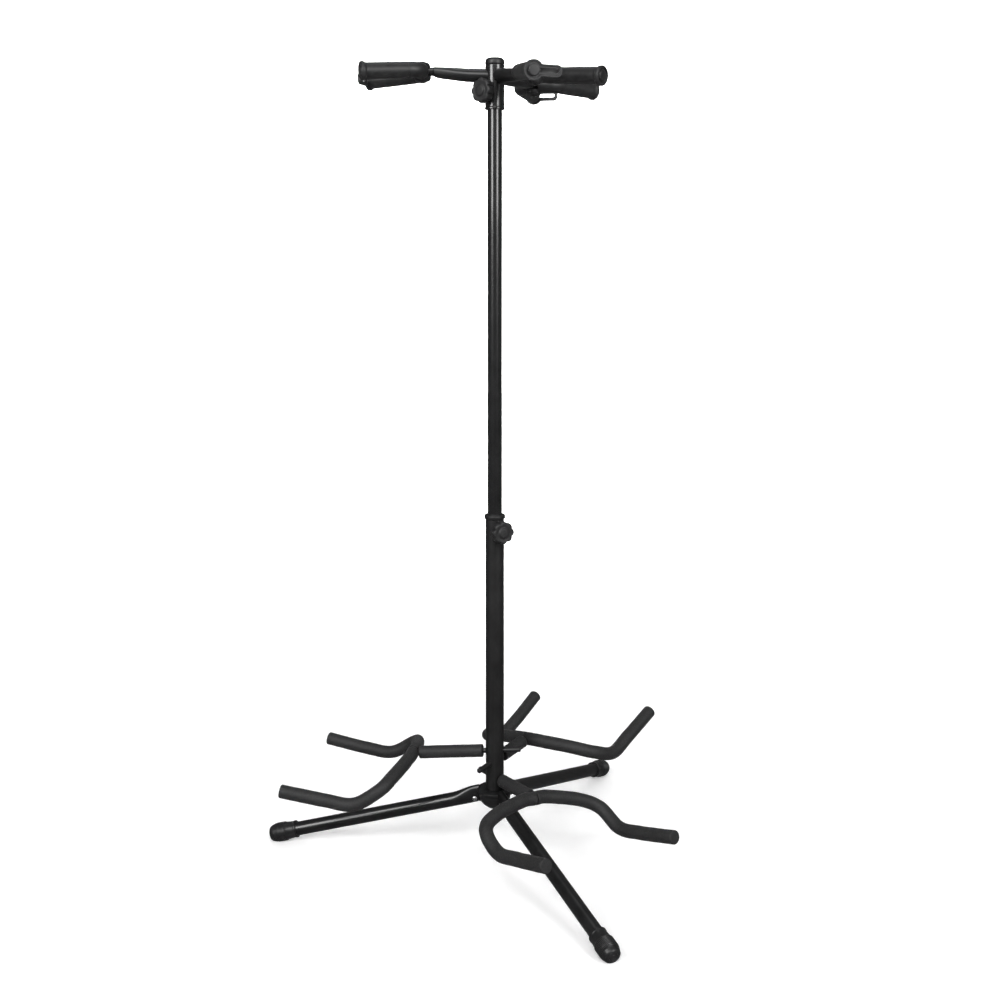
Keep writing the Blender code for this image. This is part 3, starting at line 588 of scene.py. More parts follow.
def stand_in(obj, node):
    """Let a fine piece stand for a CAD node, on its body, in its finish."""
    obj.data = obj.data.copy()
    obj.data.transform(obj.matrix_world)
    obj.matrix_world = Matrix.Identity(4)
    obj.data.materials.clear()
    obj.data.materials.append(LOOKS[SLOT_OF[node]])
    even = obj.modifiers.new("even_shading", "WEIGHTED_NORMAL")
    even.keep_sharp = True
    even.weight = 60
    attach(obj, BODY_OF[node])
    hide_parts(node)
    return obj


def stamp(mesh, node, place):
    """A placed piece of a mesh drawn in local coordinates."""
    piece = bpy.data.objects.new(node + "_fine", mesh)
    bpy.context.scene.collection.objects.link(piece)
    piece.matrix_world = place
    return stand_in(piece, node)


def take_mesh(obj):
    """The mesh of a finished source object, which is then removed."""
    mesh = obj.data
    bpy.data.objects.remove(obj, do_unlink=True)
    return mesh


def axes(origin, x, y, z):
    matrix = Matrix.Identity(4)
    for column, axis in enumerate((x, y, z)):
        for row in range(3):
            matrix[row][column] = axis[row]
    matrix.translation = origin
    return matrix


def smooth_step(t):
    t = min(max(t, 0.0), 1.0)
    return t * t * (3.0 - 2.0 * t)


def about_column(azimuth, height=0.0):
    return shift(COLUMN.x, COLUMN.y, height) @ turn(azimuth, "Z")


IN_PLACE = Matrix.Identity(4)
UPRIGHT = Matrix.Translation(COLUMN)
AXIS_X = Matrix.Rotation(pi / 2.0, 4, "Y")
AXIS_Y = Matrix.Rotation(pi / 2.0, 4, "X")


# Tripod: hub, legs, rivets and foot caps

def leg_place(side):
    joint = JOINT["leg_" + side + "_fold"]
    y = Vector(joint["axis"]).normalized()
    z = Vector((0.0, 0.0, 1.0))
    return axes(Vector(joint["pos_m"]), y.cross(z), y, z)


def build_hub():
    outline = eased(
        [
            (0.0, 0.0665), (0.0110, 0.0665), (0.0172, 0.0715), (0.0208, 0.0765), (0.0222, 0.0825),
            (0.0222, 0.0889), (0.0254, 0.0893), (0.0254, HUB_TOP), (LOWER_BORE - GAP, HUB_TOP),
            (LOWER_BORE - GAP, 0.1040), (0.0, 0.1040),
        ],
        0.0008,
        closed=False,
    )
    hub = to_object("leg_hub_fine", lathe(outline, TUBE_SIDES, closed=False), UPRIGHT)
    for side in SIDES:
        place = UPRIGHT.inverted() @ leg_place(side)
        notch = box((-0.0054, -0.0068, -0.0120), (0.0100, 0.0068, 0.0200))
        notch.transform(place)
        combine(hub, "DIFFERENCE", notch)
        eye = cylinder(TONGUE_EYE_R, 2.0 * TONGUE, AXIS_Y)
        eye.transform(place)
        web = box((-0.0125, -TONGUE, -TONGUE_EYE_R), (0.0, TONGUE, TONGUE_EYE_R))
        web.transform(place)
        combine(hub, "UNION", web, eye)
        hole = cylinder(RIVET_R + GAP, 0.02, AXIS_Y)
        hole.transform(place)
        combine(hub, "DIFFERENCE", hole)
    soften(hub, EDGE)
    stand_in(hub, "leg_hub")


def leg_sections(inset):
    rows = []
    stations = [-0.012, -0.002] + [-0.002 + 0.0022 * step for step in range(1, 17)]
    stations += [0.0550, 0.1200, 0.2000, LEG_LENGTH]
    for along in stations:
        blend = 1.0 - smooth_step((along + 0.002) / 0.034)
        rows.append((
            along,
            LEG_R * (1.0 - blend) + LEG_END_W * blend - inset,
            LEG_R * (1.0 - blend) + LEG_END_H * blend - inset,
            2.0 + 0.7 * blend,
            LEG_END_RISE * blend,
        ))
    return rows


LEG_LIE = shift(z=LEG_LIFT) @ Matrix.Rotation(LEG_SLOPE, 4, "Y")


def build_leg():
    shell = loft(leg_sections(0.0), 64)
    shell.transform(LEG_LIE)
    leg = to_object("leg_left_fine", shell, leg_place("left"))
    hollow = loft([(x * 1.01, w, h, q, z) for x, w, h, q, z in leg_sections(LEG_WALL)], 64)
    hollow.transform(LEG_LIE)
    combine(leg, "DIFFERENCE", hollow)
    slot = TONGUE + 0.0004
    combine(leg, "DIFFERENCE", box((-0.05, -0.02, -0.03), (-0.0051, 0.02, 0.05)))
    combine(leg, "DIFFERENCE", box((-0.02, -slot, -0.03), (0.0062, slot, 0.0030)))
    combine(leg, "DIFFERENCE", cylinder(RIVET_R + GAP, 0.03, AXIS_Y))
    soften(leg, EDGE)
    return leg


def build_foot():
    """Smooth collar on the tube, ribbed grip and a flat ring at the end."""
    end = LEG_LENGTH + FOOT_OVERHANG
    start = end - FOOT_LENGTH
    bore = LEG_R + GAP
    collar = [(bore, start), (FOOT_COLLAR_R, start), (FOOT_COLLAR_R, start + 0.0026),
              (0.0116, start + 0.0034)]
    outline = eased(collar, 0.0006, closed=False)
    outline += [(0.0117, start + 0.0080), (0.0122, start + 0.0126), (0.0126, start + 0.0150)]
    grip = start + 0.0160
    for rib in range(FOOT_RIBS):
        along = grip + (end - 0.0060 - grip) * rib / FOOT_RIBS
        crown = FOOT_R - 0.0001 - 0.0012 * smooth_step((along - end + 0.0130) / 0.0070)
        outline += [(crown - 0.0004, along), (crown, along + 0.0005), (crown, along + 0.0011),
                    (crown - 0.0004, along + 0.0016)]
    tail = ((0.0118, 0.0050), (0.0108, 0.0022), (0.0094, 0.0006), (0.0082, 0.0), (0.0060, 0.0),
            (0.0056, 0.0006), (0.0034, 0.0006), (0.0030, 0.0001), (0.0, 0.0001))
    outline += [(radius, end - back) for radius, back in tail]
    outline += [(0.0, LEG_LENGTH + GAP), (bore, LEG_LENGTH + GAP)]
    shell = lathe(outline, 72)
    shell.transform(LEG_LIE @ AXIS_X)
    foot = to_object("foot_cap_left_fine", shell, leg_place("left"))
    combine(foot, "DIFFERENCE", box((0.20, -0.05, -0.15), (0.35, 0.05, -LEG_PIVOT_Z)))
    return foot


def build_rivet():
    """Shank through the leg's two cheeks with a domed head at both ends."""
    half = LEG_END_W + GAP
    dome = ((0.0, 0.0017), (0.0016, 0.0016), (RIVET_R, 0.0010), (0.0038, 0.0))
    head = [(radius, -half - proud) for radius, proud in dome]
    outline = head + [(RIVET_R, -half), (RIVET_R, half)] + [(r, -z) for r, z in head[::-1]]
    bm = lathe(outline, 40, closed=False)
    bm.transform(AXIS_Y)
    return to_object("leg_rivet_left_fine", bm, leg_place("left"))


build_hub()
leg_parts = (("leg_", build_leg()), ("foot_cap_", build_foot()), ("leg_rivet_", build_rivet()))
for part, source in leg_parts:
    mesh = take_mesh(source)
    for side in SIDES:
        stamp(mesh, part + side, leg_place(side))


# Column: tubes, clutch, top sleeve, nuts, screws and knobs

def radial_place(joint_name):
    joint = JOINT[joint_name]
    z = Vector(joint["axis"]).normalized()
    x = Vector((0.0, 0.0, -1.0))
    return axes(Vector(joint["pos_m"]), x, z.cross(x), z)


CLUTCH = radial_place("clutch_knob_turn")
CROWN = radial_place("top_knob_turn")


def tube_outline(outer, bore, bottom, top, edge=0.0004):
    return eased([(bore, bottom), (outer, bottom), (outer, top), (bore, top)], edge)


def knob_hole(place):
    hole = cylinder(KNOB_HOLE_R, 0.014, IN_PLACE, 32)
    hole.transform(UPRIGHT.inverted() @ place)
    return hole


def turned(node, outline, closed=True):
    """A piece of the column, turned about the column's axis."""
    return to_object(node + "_fine", lathe(outline, TUBE_SIDES, closed), UPRIGHT)


def build_tubes():
    lower = turned("lower_tube", tube_outline(LOWER_R, LOWER_BORE, HUB_TOP + GAP, LOWER_TOP))
    combine(lower, "DIFFERENCE", knob_hole(CLUTCH))
    for _, azimuth, tilt, _, _, level in CRADLES:
        place = shift(z=level) @ turn(azimuth, "Z") @ turn(-tilt, "Y") @ AXIS_X
        combine(lower, "DIFFERENCE", cylinder(ROD_R + GAP, 0.06, place))
    stand_in(lower, "lower_tube")
    middle = turned("middle_tube", tube_outline(MIDDLE_R, MIDDLE_BORE, MIDDLE_LOW, SEAM_Z))
    stand_in(middle, "middle_tube")
    upper = eased(
        [
            (SPIGOT_BORE, SPIGOT_LOW), (SPIGOT_R, SPIGOT_LOW), (SPIGOT_R, SEAM_Z + GAP),
            (UPPER_R, SEAM_Z + GAP), (UPPER_R, UPPER_TOP), (UPPER_BORE, UPPER_TOP),
            (UPPER_BORE, SEAM_Z + 0.0060), (SPIGOT_BORE, SEAM_Z + 0.0020),
        ],
        0.0006,
    )
    stand_in(turned("upper_tube", upper), "upper_tube")


def build_fittings():
    """Clutch collar, top sleeve and top cap."""
    bore, plug = MIDDLE_R + GAP, LOWER_BORE - GAP
    ring = eased(
        [
            (bore, COLLAR_LOW), (plug, COLLAR_LOW), (plug, LOWER_TOP + GAP),
            (0.0131, LOWER_TOP + GAP), (COLLAR_R, LOWER_TOP + 0.0014),
            (COLLAR_R, LOWER_TOP + 0.0052), (0.0134, LOWER_TOP + 0.0064),
            (0.0112, LOWER_TOP + 0.0064), (0.0104, LOWER_TOP + 0.0078), (bore, LOWER_TOP + 0.0078),
        ],
        0.0007,
    )
    collar = turned("clutch_collar", ring)
    combine(collar, "DIFFERENCE", knob_hole(CLUTCH))
    stand_in(collar, "clutch_collar")

    skirt = eased(
        [
            (SLEEVE_BORE, SLEEVE_LOW), (0.0129, SLEEVE_LOW), (0.0129, SLEEVE_LOW + 0.0022),
            (SLEEVE_R, SLEEVE_LOW + 0.0030), (SLEEVE_R, SLEEVE_TOP), (SLEEVE_BORE, SLEEVE_TOP),
        ],
        0.0005,
    )
    sleeve = turned("top_sleeve", skirt)
    combine(sleeve, "DIFFERENCE", knob_hole(CROWN))
    stand_in(sleeve, "top_sleeve")

    dome = eased(
        [
            (0.0, UPPER_TOP + GAP), (SLEEVE_BORE - GAP, UPPER_TOP + GAP),
            (SLEEVE_BORE - GAP, SLEEVE_TOP + GAP), (SLEEVE_R, SLEEVE_TOP + GAP),
            (SLEEVE_R, CAP_TOP - 0.0046), (0.0116, CAP_TOP - 0.0022),
            (0.0092, CAP_TOP - 0.0004), (0.0, CAP_TOP),
        ],
        0.0022,
        closed=False,
        steps=5,
    )
    stand_in(turned("top_cap", dome, closed=False), "top_cap")


def build_clamp(prefix, place, wall, bore):
    """Hexagon nut welded to the tube and the screw that passes through it."""
    seat = wall + KNOB_SEAT + GAP
    hexagon = lathe([(NUT_BORE, 0.0), (NUT_R, 0.0), (NUT_R, NUT_T), (NUT_BORE, NUT_T)], 6)
    nut = to_object(prefix + "_nut_fine", hexagon, place @ shift(z=wall - NUT_SINK - seat), 20.0)
    skin = cylinder(wall + GAP, 0.03, IN_PLACE, TUBE_SIDES)
    skin.transform(shift(z=NUT_SINK - wall) @ AXIS_X)
    combine(nut, "DIFFERENCE", skin)
    soften(nut, 0.0004)
    stand_in(nut, prefix + "_nut")
    length = seat + SCREW_GRIP - bore
    outline = [(0.0, 0.0), (0.0022, 0.0)]
    for thread in range(int(length / THREAD_PITCH)):
        base = 0.0006 + thread * THREAD_PITCH
        if base + 0.0006 < length:
            outline += [(THREAD_ROOT, base), (SCREW_R, base + THREAD_PITCH / 2.0)]
    outline += [(THREAD_ROOT, length - 0.0001), (0.0, length)]
    screw = to_object(prefix + "_screw_fine", lathe(outline, 40, closed=False),
                      place @ shift(z=bore - seat))
    stand_in(screw, prefix + "_screw")


def build_knob(prefix, place):
    """Lobed clamping knob with a raised boss, rounded lobes and a dished
    face."""
    segments = 128
    socket, top = 0.0080, 0.0139
    # Depth, radius and share of the lobes
    layers = [
        (socket, 0.0033, 0.0), (0.0000, 0.0033, 0.0), (0.0000, 0.0126, 0.3),
        (0.0003, 0.0131, 0.5), (0.0010, 0.0137, 0.8), (0.0022, 0.0141, 0.95),
        (0.0060, 0.0143, 1.0), (0.0094, 0.0144, 1.0), (0.0108, 0.0142, 0.95),
        (0.0117, 0.0137, 0.8), (0.0122, 0.0129, 0.55), (0.0124, 0.0119, 0.3),
        (0.0119, 0.0102, 0.1), (0.0117, 0.0084, 0.0), (0.0119, 0.0074, 0.0),
        (0.0128, 0.0069, 0.0), (0.0135, 0.0065, 0.0), (0.0138, 0.0058, 0.0), (top, 0.0030, 0.0),
    ]
    bm = bmesh.new()
    rings = []
    for depth, radius, lobe in layers:
        ring = []
        for step in range(segments):
            angle = 2.0 * pi * step / segments
            wave = 2.0 * abs(cos(KNOB_LOBES * angle / 2.0)) ** 0.75 - 1.0
            reach = radius + LOBE_DEPTH * lobe * wave
            ring.append(bm.verts.new((reach * cos(angle), reach * sin(angle), depth)))
        rings.append(ring)
    bridge(bm, [bm.verts.new((0.0, 0.0, socket))], rings[0])
    for low, high in zip(rings, rings[1:]):
        bridge(bm, low, high)
    bridge(bm, rings[-1], [bm.verts.new((0.0, 0.0, top))])
    stand_in(to_object(prefix + "_knob_fine", bm, place, 60.0), prefix + "_knob")


build_tubes()
build_fittings()
build_clamp("clutch", CLUTCH, LOWER_R, MIDDLE_R + GAP)
build_clamp("top", CROWN, SLEEVE_R, UPPER_R + GAP)
build_knob("clutch", CLUTCH)
build_knob("top", CROWN)


# Cradles: bent rod with foam sleeves

def spline(points, steps):
    knots = [Vector(point) for point in points]
    knots = [knots[0] * 2.0 - knots[1]] + knots + [knots[-1] * 2.0 - knots[-2]]
    path = []
    for index in range(1, len(knots) - 2):
        p0, p1, p2, p3 = knots[index - 1:index + 3]
        for step in range(steps[index - 1]):
            t = step / steps[index - 1]
            path.append(
                0.5 * (2.0 * p1 + (p2 - p0) * t + (2.0 * p0 - 5.0 * p1 + 4.0 * p2 - p3) * t * t
                       + (3.0 * p1 - p0 - 3.0 * p2 + p3) * t * t * t)
            )
    path.append(knots[-2])
    return path


def cradle_path(side, steps):
    points = [
        (JUNCTION, 0.0, 0.0),
        (JUNCTION + 0.0003, 0.0220 * side, -0.0006),
        (0.1067, 0.0712 * side, -0.0083),
        (0.1220, 0.0985 * side, -0.0189),
        (0.1573, 0.1034 * side, -0.0348),
        (0.1964, 0.1042 * side, -0.0279),
        (0.2573, 0.1080 * side, -0.0122),
    ]
    return spline(points, steps)


def foam_skin(obj, centre_path):
    """Give a foam sleeve its slightly uneven, squeezed surface."""
    for vert in obj.data.vertices:
        nearest = min(centre_path, key=lambda point: (point - vert.co).length_squared)
        out = vert.co - nearest
        if out.length < ROD_R + 0.0012:
            continue
        swell = sum(noise.noise(vert.co * scale) * height for scale, height in SWELLS)
        vert.co += out.normalized() * (swell - SKIN_SINK)


def build_foam_half(name, side):
    """Half of the U sleeve, with eased ends and a closed tip past the rod."""
    path = cradle_path(side, (8, 16, 14, 14, 14, 18))
    first = path[0].lerp(path[1], FOAM_PARTING / (path[1] - path[0]).length)
    path = [first] + path[1:]
    heading = (path[1] - path[0]).normalized()
    beyond = (path[-1] - path[-2]).normalized()
    # Distance from the end of the sleeve and what is taken off its radius
    start_ease = ((0.0, -0.0009), (0.0004, -0.00025), (0.0010, 0.0))
    end_ease = (
        (0.0020, 0.0), (0.0012, -0.0001), (0.0006, -0.0005), (0.0002, -0.0010), (0.0, -0.0018),
    )
    points = [first + heading * along for along, _ in start_ease]
    radii = [FOAM_R + delta for _, delta in start_ease]
    for point in path[1:-1]:
        if (point - points[-1]).dot(heading) > 0.0004 or len(points) > 3:
            if (path[-1] - point).length > 0.0026:
                points.append(point)
                radii.append(FOAM_R)
    for back, delta in end_ease:
        points.append(path[-1] - beyond * back)
        radii.append(FOAM_R + delta)
    bore = [first] + [p for p in path[1:-1] if (path[-1] - p).length > TIP_CLOSURE + 0.001]
    bore.append(path[-1] - beyond * TIP_CLOSURE)
    obj = to_object(name, sweep(points, radii, 40, bore, FOAM_BORE))
    foam_skin(obj, path)
    along = shift(JUNCTION - 0.0100) @ AXIS_X
    combine(obj, "DIFFERENCE", cylinder(ROD_R + GAP, 0.0200, along, 40))
    shade(obj, 50.0)
    return obj


def build_stem_foam(name, reach, place):
    start = STEM_FOAM_START - reach
    end = JUNCTION - FOAM_R - FOAM_JOINT
    edge = ((ROD_R + GAP, 0.0), (STEM_FOAM_R - 0.0010, 0.0), (STEM_FOAM_R - 0.0003, 0.0003),
            (STEM_FOAM_R, 0.0010))
    span = end - start - 0.0020
    rows = [(radius, start + back) for radius, back in edge]
    for ring in range(1, STEM_RINGS):
        rows.append((STEM_FOAM_R, start + 0.0010 + span * ring / STEM_RINGS))
    rows += [(radius, end - back) for radius, back in edge[::-1]]
    body = lathe(rows, 40)
    body.transform(AXIS_X)
    obj = to_object(name, body, place, 50.0)
    foam_skin(obj, [Vector((step / 1000.0, 0.0, 0.0)) for step in range(110)])
    return obj


def build_rod(name, reach, place):
    steps = (4, 8, 10, 10, 10, 6)
    left, right = cradle_path(1.0, steps), cradle_path(-1.0, steps)
    for half in (left, right):
        half[-1] = half[-1] - (half[-1] - half[-2]).normalized() * (TIP_CLOSURE + GAP)
    loop = right[::-1] + left[1:]
    rod = to_object(name, sweep(loop, [ROD_R] * len(loop), 28), place)
    inner = -ROD_INNER - reach
    stem = lathe(
        [(0.0, inner), (0.0016, inner + 0.0001), (0.0028, inner + 0.0006), (ROD_R, inner + 0.0016),
         (ROD_R, JUNCTION), (0.0, JUNCTION)],
        36,
        closed=False,
    )
    stem.transform(AXIS_X)
    return combine(rod, "UNION", stem)


foam_halves = {
    half: take_mesh(build_foam_half("foam" + half, sign))
    for half, sign in (("_a", 1.0), ("_b", -1.0))
}
for side, azimuth, tilt, roll, reach, level in CRADLES:
    place = about_column(azimuth, level) @ turn(-tilt, "Y") @ turn(roll, "X") @ shift(reach)
    stand_in(build_rod("cradle_rod_" + side + "_fine", reach, place), "cradle_rod_" + side)
    stand_in(build_stem_foam("stem_foam_" + side + "_fine", reach, place), "stem_foam_" + side)
    for half in foam_halves:
        stamp(foam_halves[half], "cradle_foam_" + side + half, place)


# Top: neck arms, yokes, pads and gates

def yoke_place(side):
    joint = JOINT["yoke_" + side + "_swivel"]
    z = Vector(joint["axis"]).normalized()
    pivot = Vector(joint["pos_m"])
    radial = Vector((pivot.x - COLUMN.x, pivot.y - COLUMN.y, 0.0)).normalized()
    x = (radial - z * radial.dot(z)).normalized()
    return axes(pivot, x, z.cross(x), z)


def prong_place(sign):
    """Frame at the root of one prong, x along the prong."""
    return shift(PRONG_ROOT.x, PRONG_ROOT.y * sign) @ Matrix.Rotation(PRONG_ANGLE * sign, 4, "Z")


def build_arm(name, place):
    """Neck arm drawn from the yoke pivot back to the top sleeve."""
    root = place.inverted() @ shift(COLUMN.x, COLUMN.y, ARM_Z)
    rise = -root.translation.z
    # Distance from the column, share of the rise, half width and half height
    keys = (
        (0.0080, 0.0, 0.0087, 0.0087), (0.0320, 0.23, 0.0086, 0.0085),
        (0.0450, 0.41, 0.0085, 0.0082), (0.0577, 0.60, 0.0085, 0.0077),
        (0.0705, 0.80, 0.0087, 0.0069), (0.0765, 0.92, 0.0085, 0.0061),
        (0.0806, 1.0, 0.0070, TONGUE_T), (PIVOT_R + 0.0030, 1.0, 0.0067, TONGUE_T),
        (PIVOT_R + 0.0048, 1.0, 0.0060, TONGUE_T),
        (PIVOT_R + 0.0060, 1.0, 0.0046, TONGUE_T - 0.0002),
    )
    steps = [6] * (len(keys) - 1)
    curve = spline([Vector((x, share * rise, high)) for x, share, _, high in keys], steps)
    widths = spline([Vector((x, wide, 0.0)) for x, _, wide, _ in keys], steps)
    sections = []
    for point, wide in zip(curve, widths):
        square = 2.0 + smooth_step((point.x - 0.045) / 0.030)
        sections.append((point.x - PIVOT_R, wide.y, point.z, square, point.y - rise))
    arm = to_object(name, loft(sections, 56), place)
    skin = cylinder(SLEEVE_R + GAP, 0.08, IN_PLACE, TUBE_SIDES)
    skin.transform(root)
    combine(arm, "DIFFERENCE", skin)
    combine(arm, "DIFFERENCE", cylinder(PIN_R + GAP, 0.03, IN_PLACE))
    return soften(arm, EDGE)


def build_yoke():
    """Moulded fork: the boss flows into two shoulders and the thin cores."""
    half = [
        Vector((0.0010, 0.0, 0.0)), Vector((0.0010, 0.0110, 0.0)), Vector((0.0022, 0.0190, 0.0)),
        Vector((0.0058, 0.0245, 0.0)), PRONG_ROOT + PRONG_DIR * 0.0060,
        PRONG_ROOT + PRONG_DIR * (PAD_START + 0.0020),
    ]
    half = spline(half, (4, 6, 6, 6, 6))
    path = [Vector((p.x, -p.y, 0.0)) for p in half[:0:-1]] + half
    fork = to_object("yoke_left_fine", sweep(path, [YOKE_R] * len(path), 48), yoke_place("left"))
    outline = eased(
        [(0.0, -BOSS_HALF), (BOSS_R - 0.0020, -BOSS_HALF), (BOSS_R, BOSS_HALF * -0.55),
         (BOSS_R, BOSS_HALF * 0.55), (BOSS_R - 0.0020, BOSS_HALF), (0.0, BOSS_HALF)],
        0.0050,
        closed=False,
        steps=5,
    )
    combine(fork, "UNION", lathe(outline, 64, closed=False))
    remesh = fork.modifiers.new("flow", "REMESH")
    remesh.mode = "VOXEL"
    remesh.voxel_size = VOXEL
    settle(fork)
    smooth = fork.modifiers.new("soft", "SMOOTH")
    smooth.factor = 0.5
    smooth.iterations = 9
    settle(fork)
    low, high = PAD_START - 0.004, PRONG_LENGTH - 0.0030
    outline = eased([(0.0, low), (CORE_R, low), (CORE_R, high), (0.0, high)], 0.0005, closed=False)
    trim_length = 0.020
    ends = []
    for sign in (1.0, -1.0):
        at = prong_place(sign) @ AXIS_X
        reach = at @ shift(z=PAD_START - 0.0001 + trim_length / 2.0)
        combine(fork, "DIFFERENCE", cylinder(0.020, trim_length, reach))
        core = lathe(outline, 48, closed=False)
        core.transform(at)
        ends.append(core)
    combine(fork, "UNION", *ends)
    mouth = TONGUE_T + MOUTH_GAP
    slot = box((-0.0200, -MOUTH_HALF, -mouth), (MOUTH_DEPTH, MOUTH_HALF, mouth))
    combine(fork, "DIFFERENCE", slot)
    combine(fork, "DIFFERENCE", cylinder(PIN_R + GAP, 0.04, IN_PLACE))
    shade(fork, 42.0)
    return fork


def build_pad(name, gate):
    """Rubber sleeve on a prong: end flange with a groove and a centre nub, or
    a plain shoulder for the gate ring."""
    bore = CORE_R + GAP
    end = PRONG_LENGTH
    root = [(bore, PAD_START), (PAD_ROOT_R, PAD_START), (PAD_R, PAD_START + PAD_TAPER)]
    if gate:
        seat = end - GATE_SEAT - GAP
        tail = [(PAD_R, end - 0.0068), (PAD_R - 0.0010, seat), (bore, seat)]
        outline = eased(root + tail, 0.0005)
    else:
        tail = [
            (PAD_R, end - 0.0078), (0.0106, end - 0.0062), (FLANGE_R - 0.0003, end - 0.0050),
            (FLANGE_R, end - 0.0042), (FLANGE_R, end - 0.0014), (FLANGE_R - 0.0012, end),
            (0.0096, end), (0.0090, end - 0.0016), (0.0072, end - 0.0016),
            (0.0066, end - 0.0002), (0.0056, end + 0.0006),
        ]
        outline = eased(root + tail, 0.0005, closed=False)
        outline += [(0.0, end + 0.0006), (0.0, end - 0.0026), (bore, end - 0.0026)]
    body = lathe(outline, 72)
    body.transform(AXIS_X)
    return to_object(name, body, None, 50.0)


def keyhole(radius, half, length, steps):
    """Outline of the gate: a ring and a tongue with rounded corners."""
    start = atan2(half, (radius * radius - half * half) ** 0.5)
    points = []
    for step in range(steps + 1):
        angle = start + (2.0 * pi - 2.0 * start) * step / steps
        points.append((-radius * cos(angle), radius * sin(angle)))
    corner = half * 0.8
    middle = -length + corner
    quarter = [pi / 2.0 * step / 8.0 for step in range(9)]
    points += [(middle - corner * sin(a), -half + corner - corner * cos(a)) for a in quarter]
    points += [(middle - corner * cos(a), half - corner + corner * sin(a)) for a in quarter]
    return points


def slot_cutter(low, high, half):
    """Long round-ended slot between two heights, half its width to each side."""
    bm = bmesh.new()
    loops = []
    for x in (-0.01, 0.01):
        loop = []
        for centre, phase in ((high, 0.0), (low, pi)):
            for step in range(17):
                angle = phase - pi / 2.0 + pi * step / 16.0
                loop.append(bm.verts.new((x, centre + half * cos(angle), half * sin(angle))))
        loops.append(loop)
    bridge(bm, loops[0], loops[1])
    bm.faces.new(loops[0])
    bm.faces.new(loops[1])
    return bm


def build_gate():
    """Keyhole plate with a raised rim, a ring over the prong and a slot."""
    rim = keyhole(FLANGE_R - 0.0001, 0.0070, GATE_LENGTH, 60)
    ledge = keyhole(FLANGE_R - 0.0024, 0.0049, GATE_LENGTH - 0.0023, 60)
    face, back = GATE_T / 2.0, -GATE_T / 2.0
    bm = bmesh.new()
    loops = []
    for outline, level in ((rim, back), (rim, face), (ledge, face), (ledge, face - 0.0014)):
        loops.append([bm.verts.new((level, y, z)) for y, z in outline])
    for low, high in zip(loops, loops[1:]):
        bridge(bm, low, high)
    bm.faces.new(loops[0])
    bm.faces.new(loops[-1])
    gate = to_object("gate_left_fine", bm)
    combine(gate, "DIFFERENCE", cylinder(CORE_R + GAP, 0.02, AXIS_X, 56),
            slot_cutter(-GATE_LENGTH + 0.0060, -0.0094, 0.0024))
    return soften(gate, 0.0005, 3)


def build_button():
    outline = [(0.0, 0.0), (0.0070, 0.0), (0.0070, 0.0017), (0.0060, 0.0025), (0.0, 0.0027)]
    bm = lathe(eased(outline, 0.0005, closed=False), 56, closed=False)
    bm.transform(AXIS_X)
    return to_object("gate_button_left_fine", bm)


def build_pin():
    dome = ((PIN_R, GAP), (0.0046, GAP), (0.0045, 0.0008), (0.0038, 0.0013), (0.0024, 0.0016),
            (0.0014, 0.0010), (0.0, 0.0009))
    head = [(radius, BOSS_HALF + proud) for radius, proud in dome]
    outline = [(r, -z) for r, z in head[::-1]] + head
    return to_object("yoke_pin_left_fine", lathe(outline, 48, closed=False))


sources = {
    "yoke_{}": build_yoke(),
    "yoke_pin_{}": build_pin(),
    "prong_pad_{}_plain": build_pad("prong_pad_left_plain_fine", False),
    "prong_pad_{}_gate": build_pad("prong_pad_left_gate_fine", True),
    "gate_{}": build_gate(),
    "gate_button_{}": build_button(),
}
sources = {pattern: take_mesh(source) for pattern, source in sources.items()}
for side in SIDES:
    place = yoke_place(side)
    stand_in(build_arm("neck_arm_" + side + "_fine", place), "neck_arm_" + side)
    fork = place @ turn(180.0, "X") if side == "back" else place
    gated = fork @ prong_place(-1.0)
    seat = PRONG_LENGTH - GATE_SEAT
    places = {
        "yoke_{}": fork,
        "yoke_pin_{}": fork,
        "prong_pad_{}_plain": fork @ prong_place(1.0),
        "prong_pad_{}_gate": gated,
        "gate_{}": gated @ shift(seat + GATE_T / 2.0) @ turn(180.0, "X"),
        "gate_button_{}": gated @ shift(seat + GATE_T + GAP),
    }
    for pattern, mesh in sources.items():
        stamp(mesh, pattern.format(side), places[pattern])


# Stage, light and camera

def stage_material(name, colour, rough):
    mat, tree, shader = node_material(name)
    vector = coords(tree)
    cloud = noise_node(tree, vector, 1.6, 3.0)
    tone = mix_colour(tree, spread(tree, cloud, 0.0, 1.0), colour, tuple(c * 0.985 for c in colour))
    link(tree, tone, shader.inputs["Base Color"])
    shader.inputs["Roughness"].default_value = rough
    shader.inputs["Specular IOR Level"].default_value = 0.1
    rays = tree.nodes.new("ShaderNodeLightPath")
    shader.inputs["Emission Color"].default_value = (1.0, 1.0, 1.0, 1.0)
    reach = tree.nodes.new("ShaderNodeVectorMath")
    reach.operation = "LENGTH"
    link(tree, vector, reach.inputs[0])
    seen = tree.nodes.new("ShaderNodeMath")
    seen.operation = "MULTIPLY"
    glow = spread(tree, reach.outputs["Value"], NEAR_GLOW, FAR_GLOW, *GLOW_FADE)
    link(tree, rays.outputs["Is Camera Ray"], seen.inputs[0])
    link(tree, glow, seen.inputs[1])
    link(tree, seen.outputs["Value"], shader.inputs["Emission Strength"])
    return mat


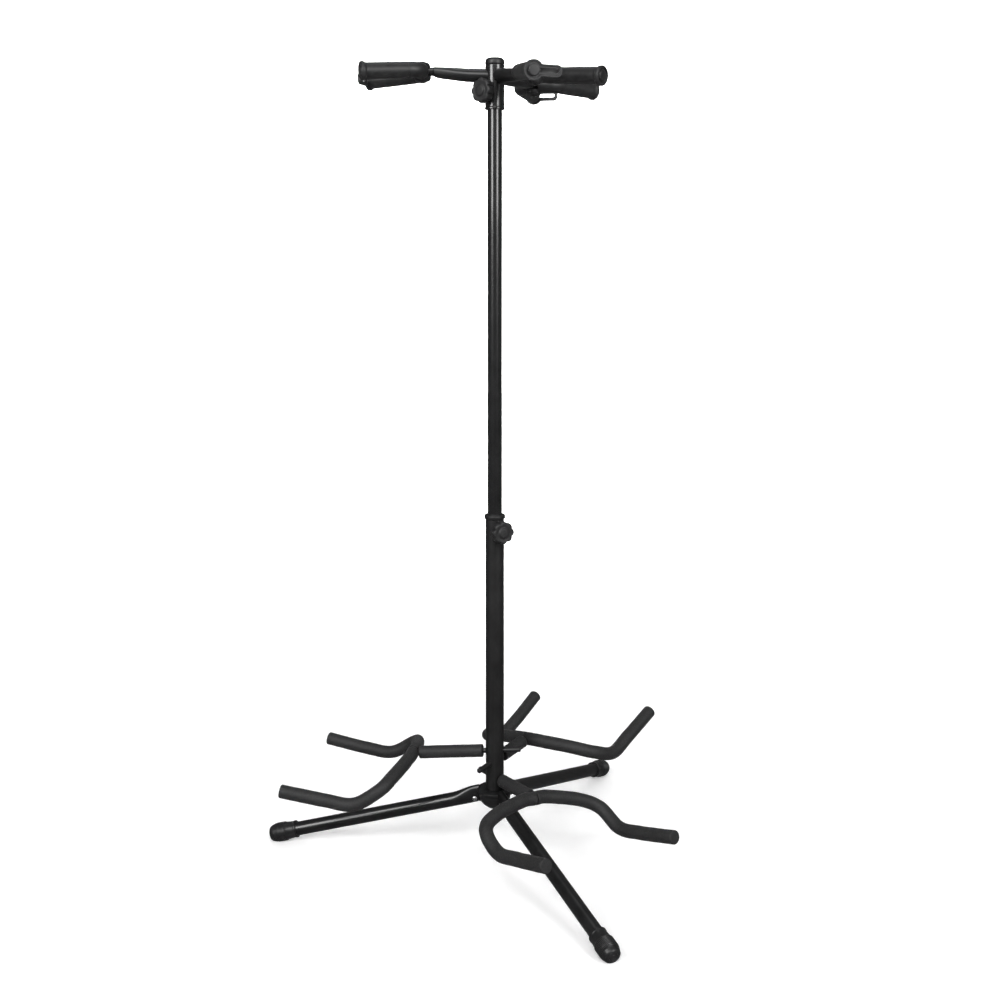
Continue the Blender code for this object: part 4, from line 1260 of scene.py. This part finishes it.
def build_stage():
    """A pale sweep: flat floor that curves up into a plain back wall."""
    profile = [(FLOOR_FRONT, 0.0), (FLOOR_BACK, 0.0)]
    for step in range(1, 17):
        angle = pi / 2.0 * step / 16.0
        profile.append((FLOOR_BACK + BEND_R * sin(angle), BEND_R - BEND_R * cos(angle)))
    profile.append((FLOOR_BACK + BEND_R, WALL_TOP))
    bm = bmesh.new()
    rows = []
    for y, z in profile:
        rows.append([bm.verts.new((x, y, z - FLOOR_SINK)) for x in (-STAGE_HALF, STAGE_HALF)])
    for low, high in zip(rows, rows[1:]):
        bm.faces.new((low[0], low[1], high[1], high[0]))
    floor = to_object("studio_sweep", bm)
    floor.data.materials.append(stage_material("pale_sweep", STAGE_TONE, 0.9))
    floor.visible_glossy = False


def area_light(name, location, target, size_x, size_y, power):
    data = bpy.data.lights.new(name, "AREA")
    data.shape = "RECTANGLE"
    data.size = size_x
    data.size_y = size_y
    data.energy = power
    light = bpy.data.objects.new(name, data)
    bpy.context.scene.collection.objects.link(light)
    light.location = location
    light.rotation_euler = (target - location).to_track_quat("-Z", "Y").to_euler()
    return light


def build_world():
    """A dim studio round the set; only what looks at it directly sees it pale."""
    world = bpy.data.worlds.new("studio")
    bpy.context.scene.world = world
    world.use_nodes = True
    tree = world.node_tree
    rays = tree.nodes.new("ShaderNodeLightPath")
    level = tree.nodes.new("ShaderNodeMapRange")
    level.inputs["To Min"].default_value = ROOM_LEVEL
    level.inputs["To Max"].default_value = ROOM_SEEN
    link(tree, rays.outputs["Is Camera Ray"], level.inputs["Value"])
    link(tree, level.outputs["Result"], tree.nodes["Background"].inputs["Strength"])
    tree.nodes["Background"].inputs["Color"].default_value = (1.0, 1.0, 1.0, 1.0)


build_stage()
build_world()
for lamp_name, at, aim, *size_and_power in LAMPS:
    lamp = area_light(lamp_name, COLUMN + Vector(at), COLUMN + Vector(aim), *size_and_power)
    if lamp_name == "sweep_wash":
        lamp.data.spread = WASH_SPREAD

camera_data = bpy.data.cameras.new("camera")
camera = bpy.data.objects.new("camera", camera_data)
bpy.context.scene.collection.objects.link(camera)
camera.location = COLUMN + Vector(CAMERA_AT)
camera.rotation_euler = (radians(90.0 - CAMERA_DOWN), 0.0, 0.0)
camera_data.sensor_width = SENSOR_WIDTH
camera_data.lens = LENS
camera_data.shift_x, camera_data.shift_y = LENS_SHIFT
bpy.context.scene.camera = camera
bpy.context.scene.view_settings.view_transform = "Standard"
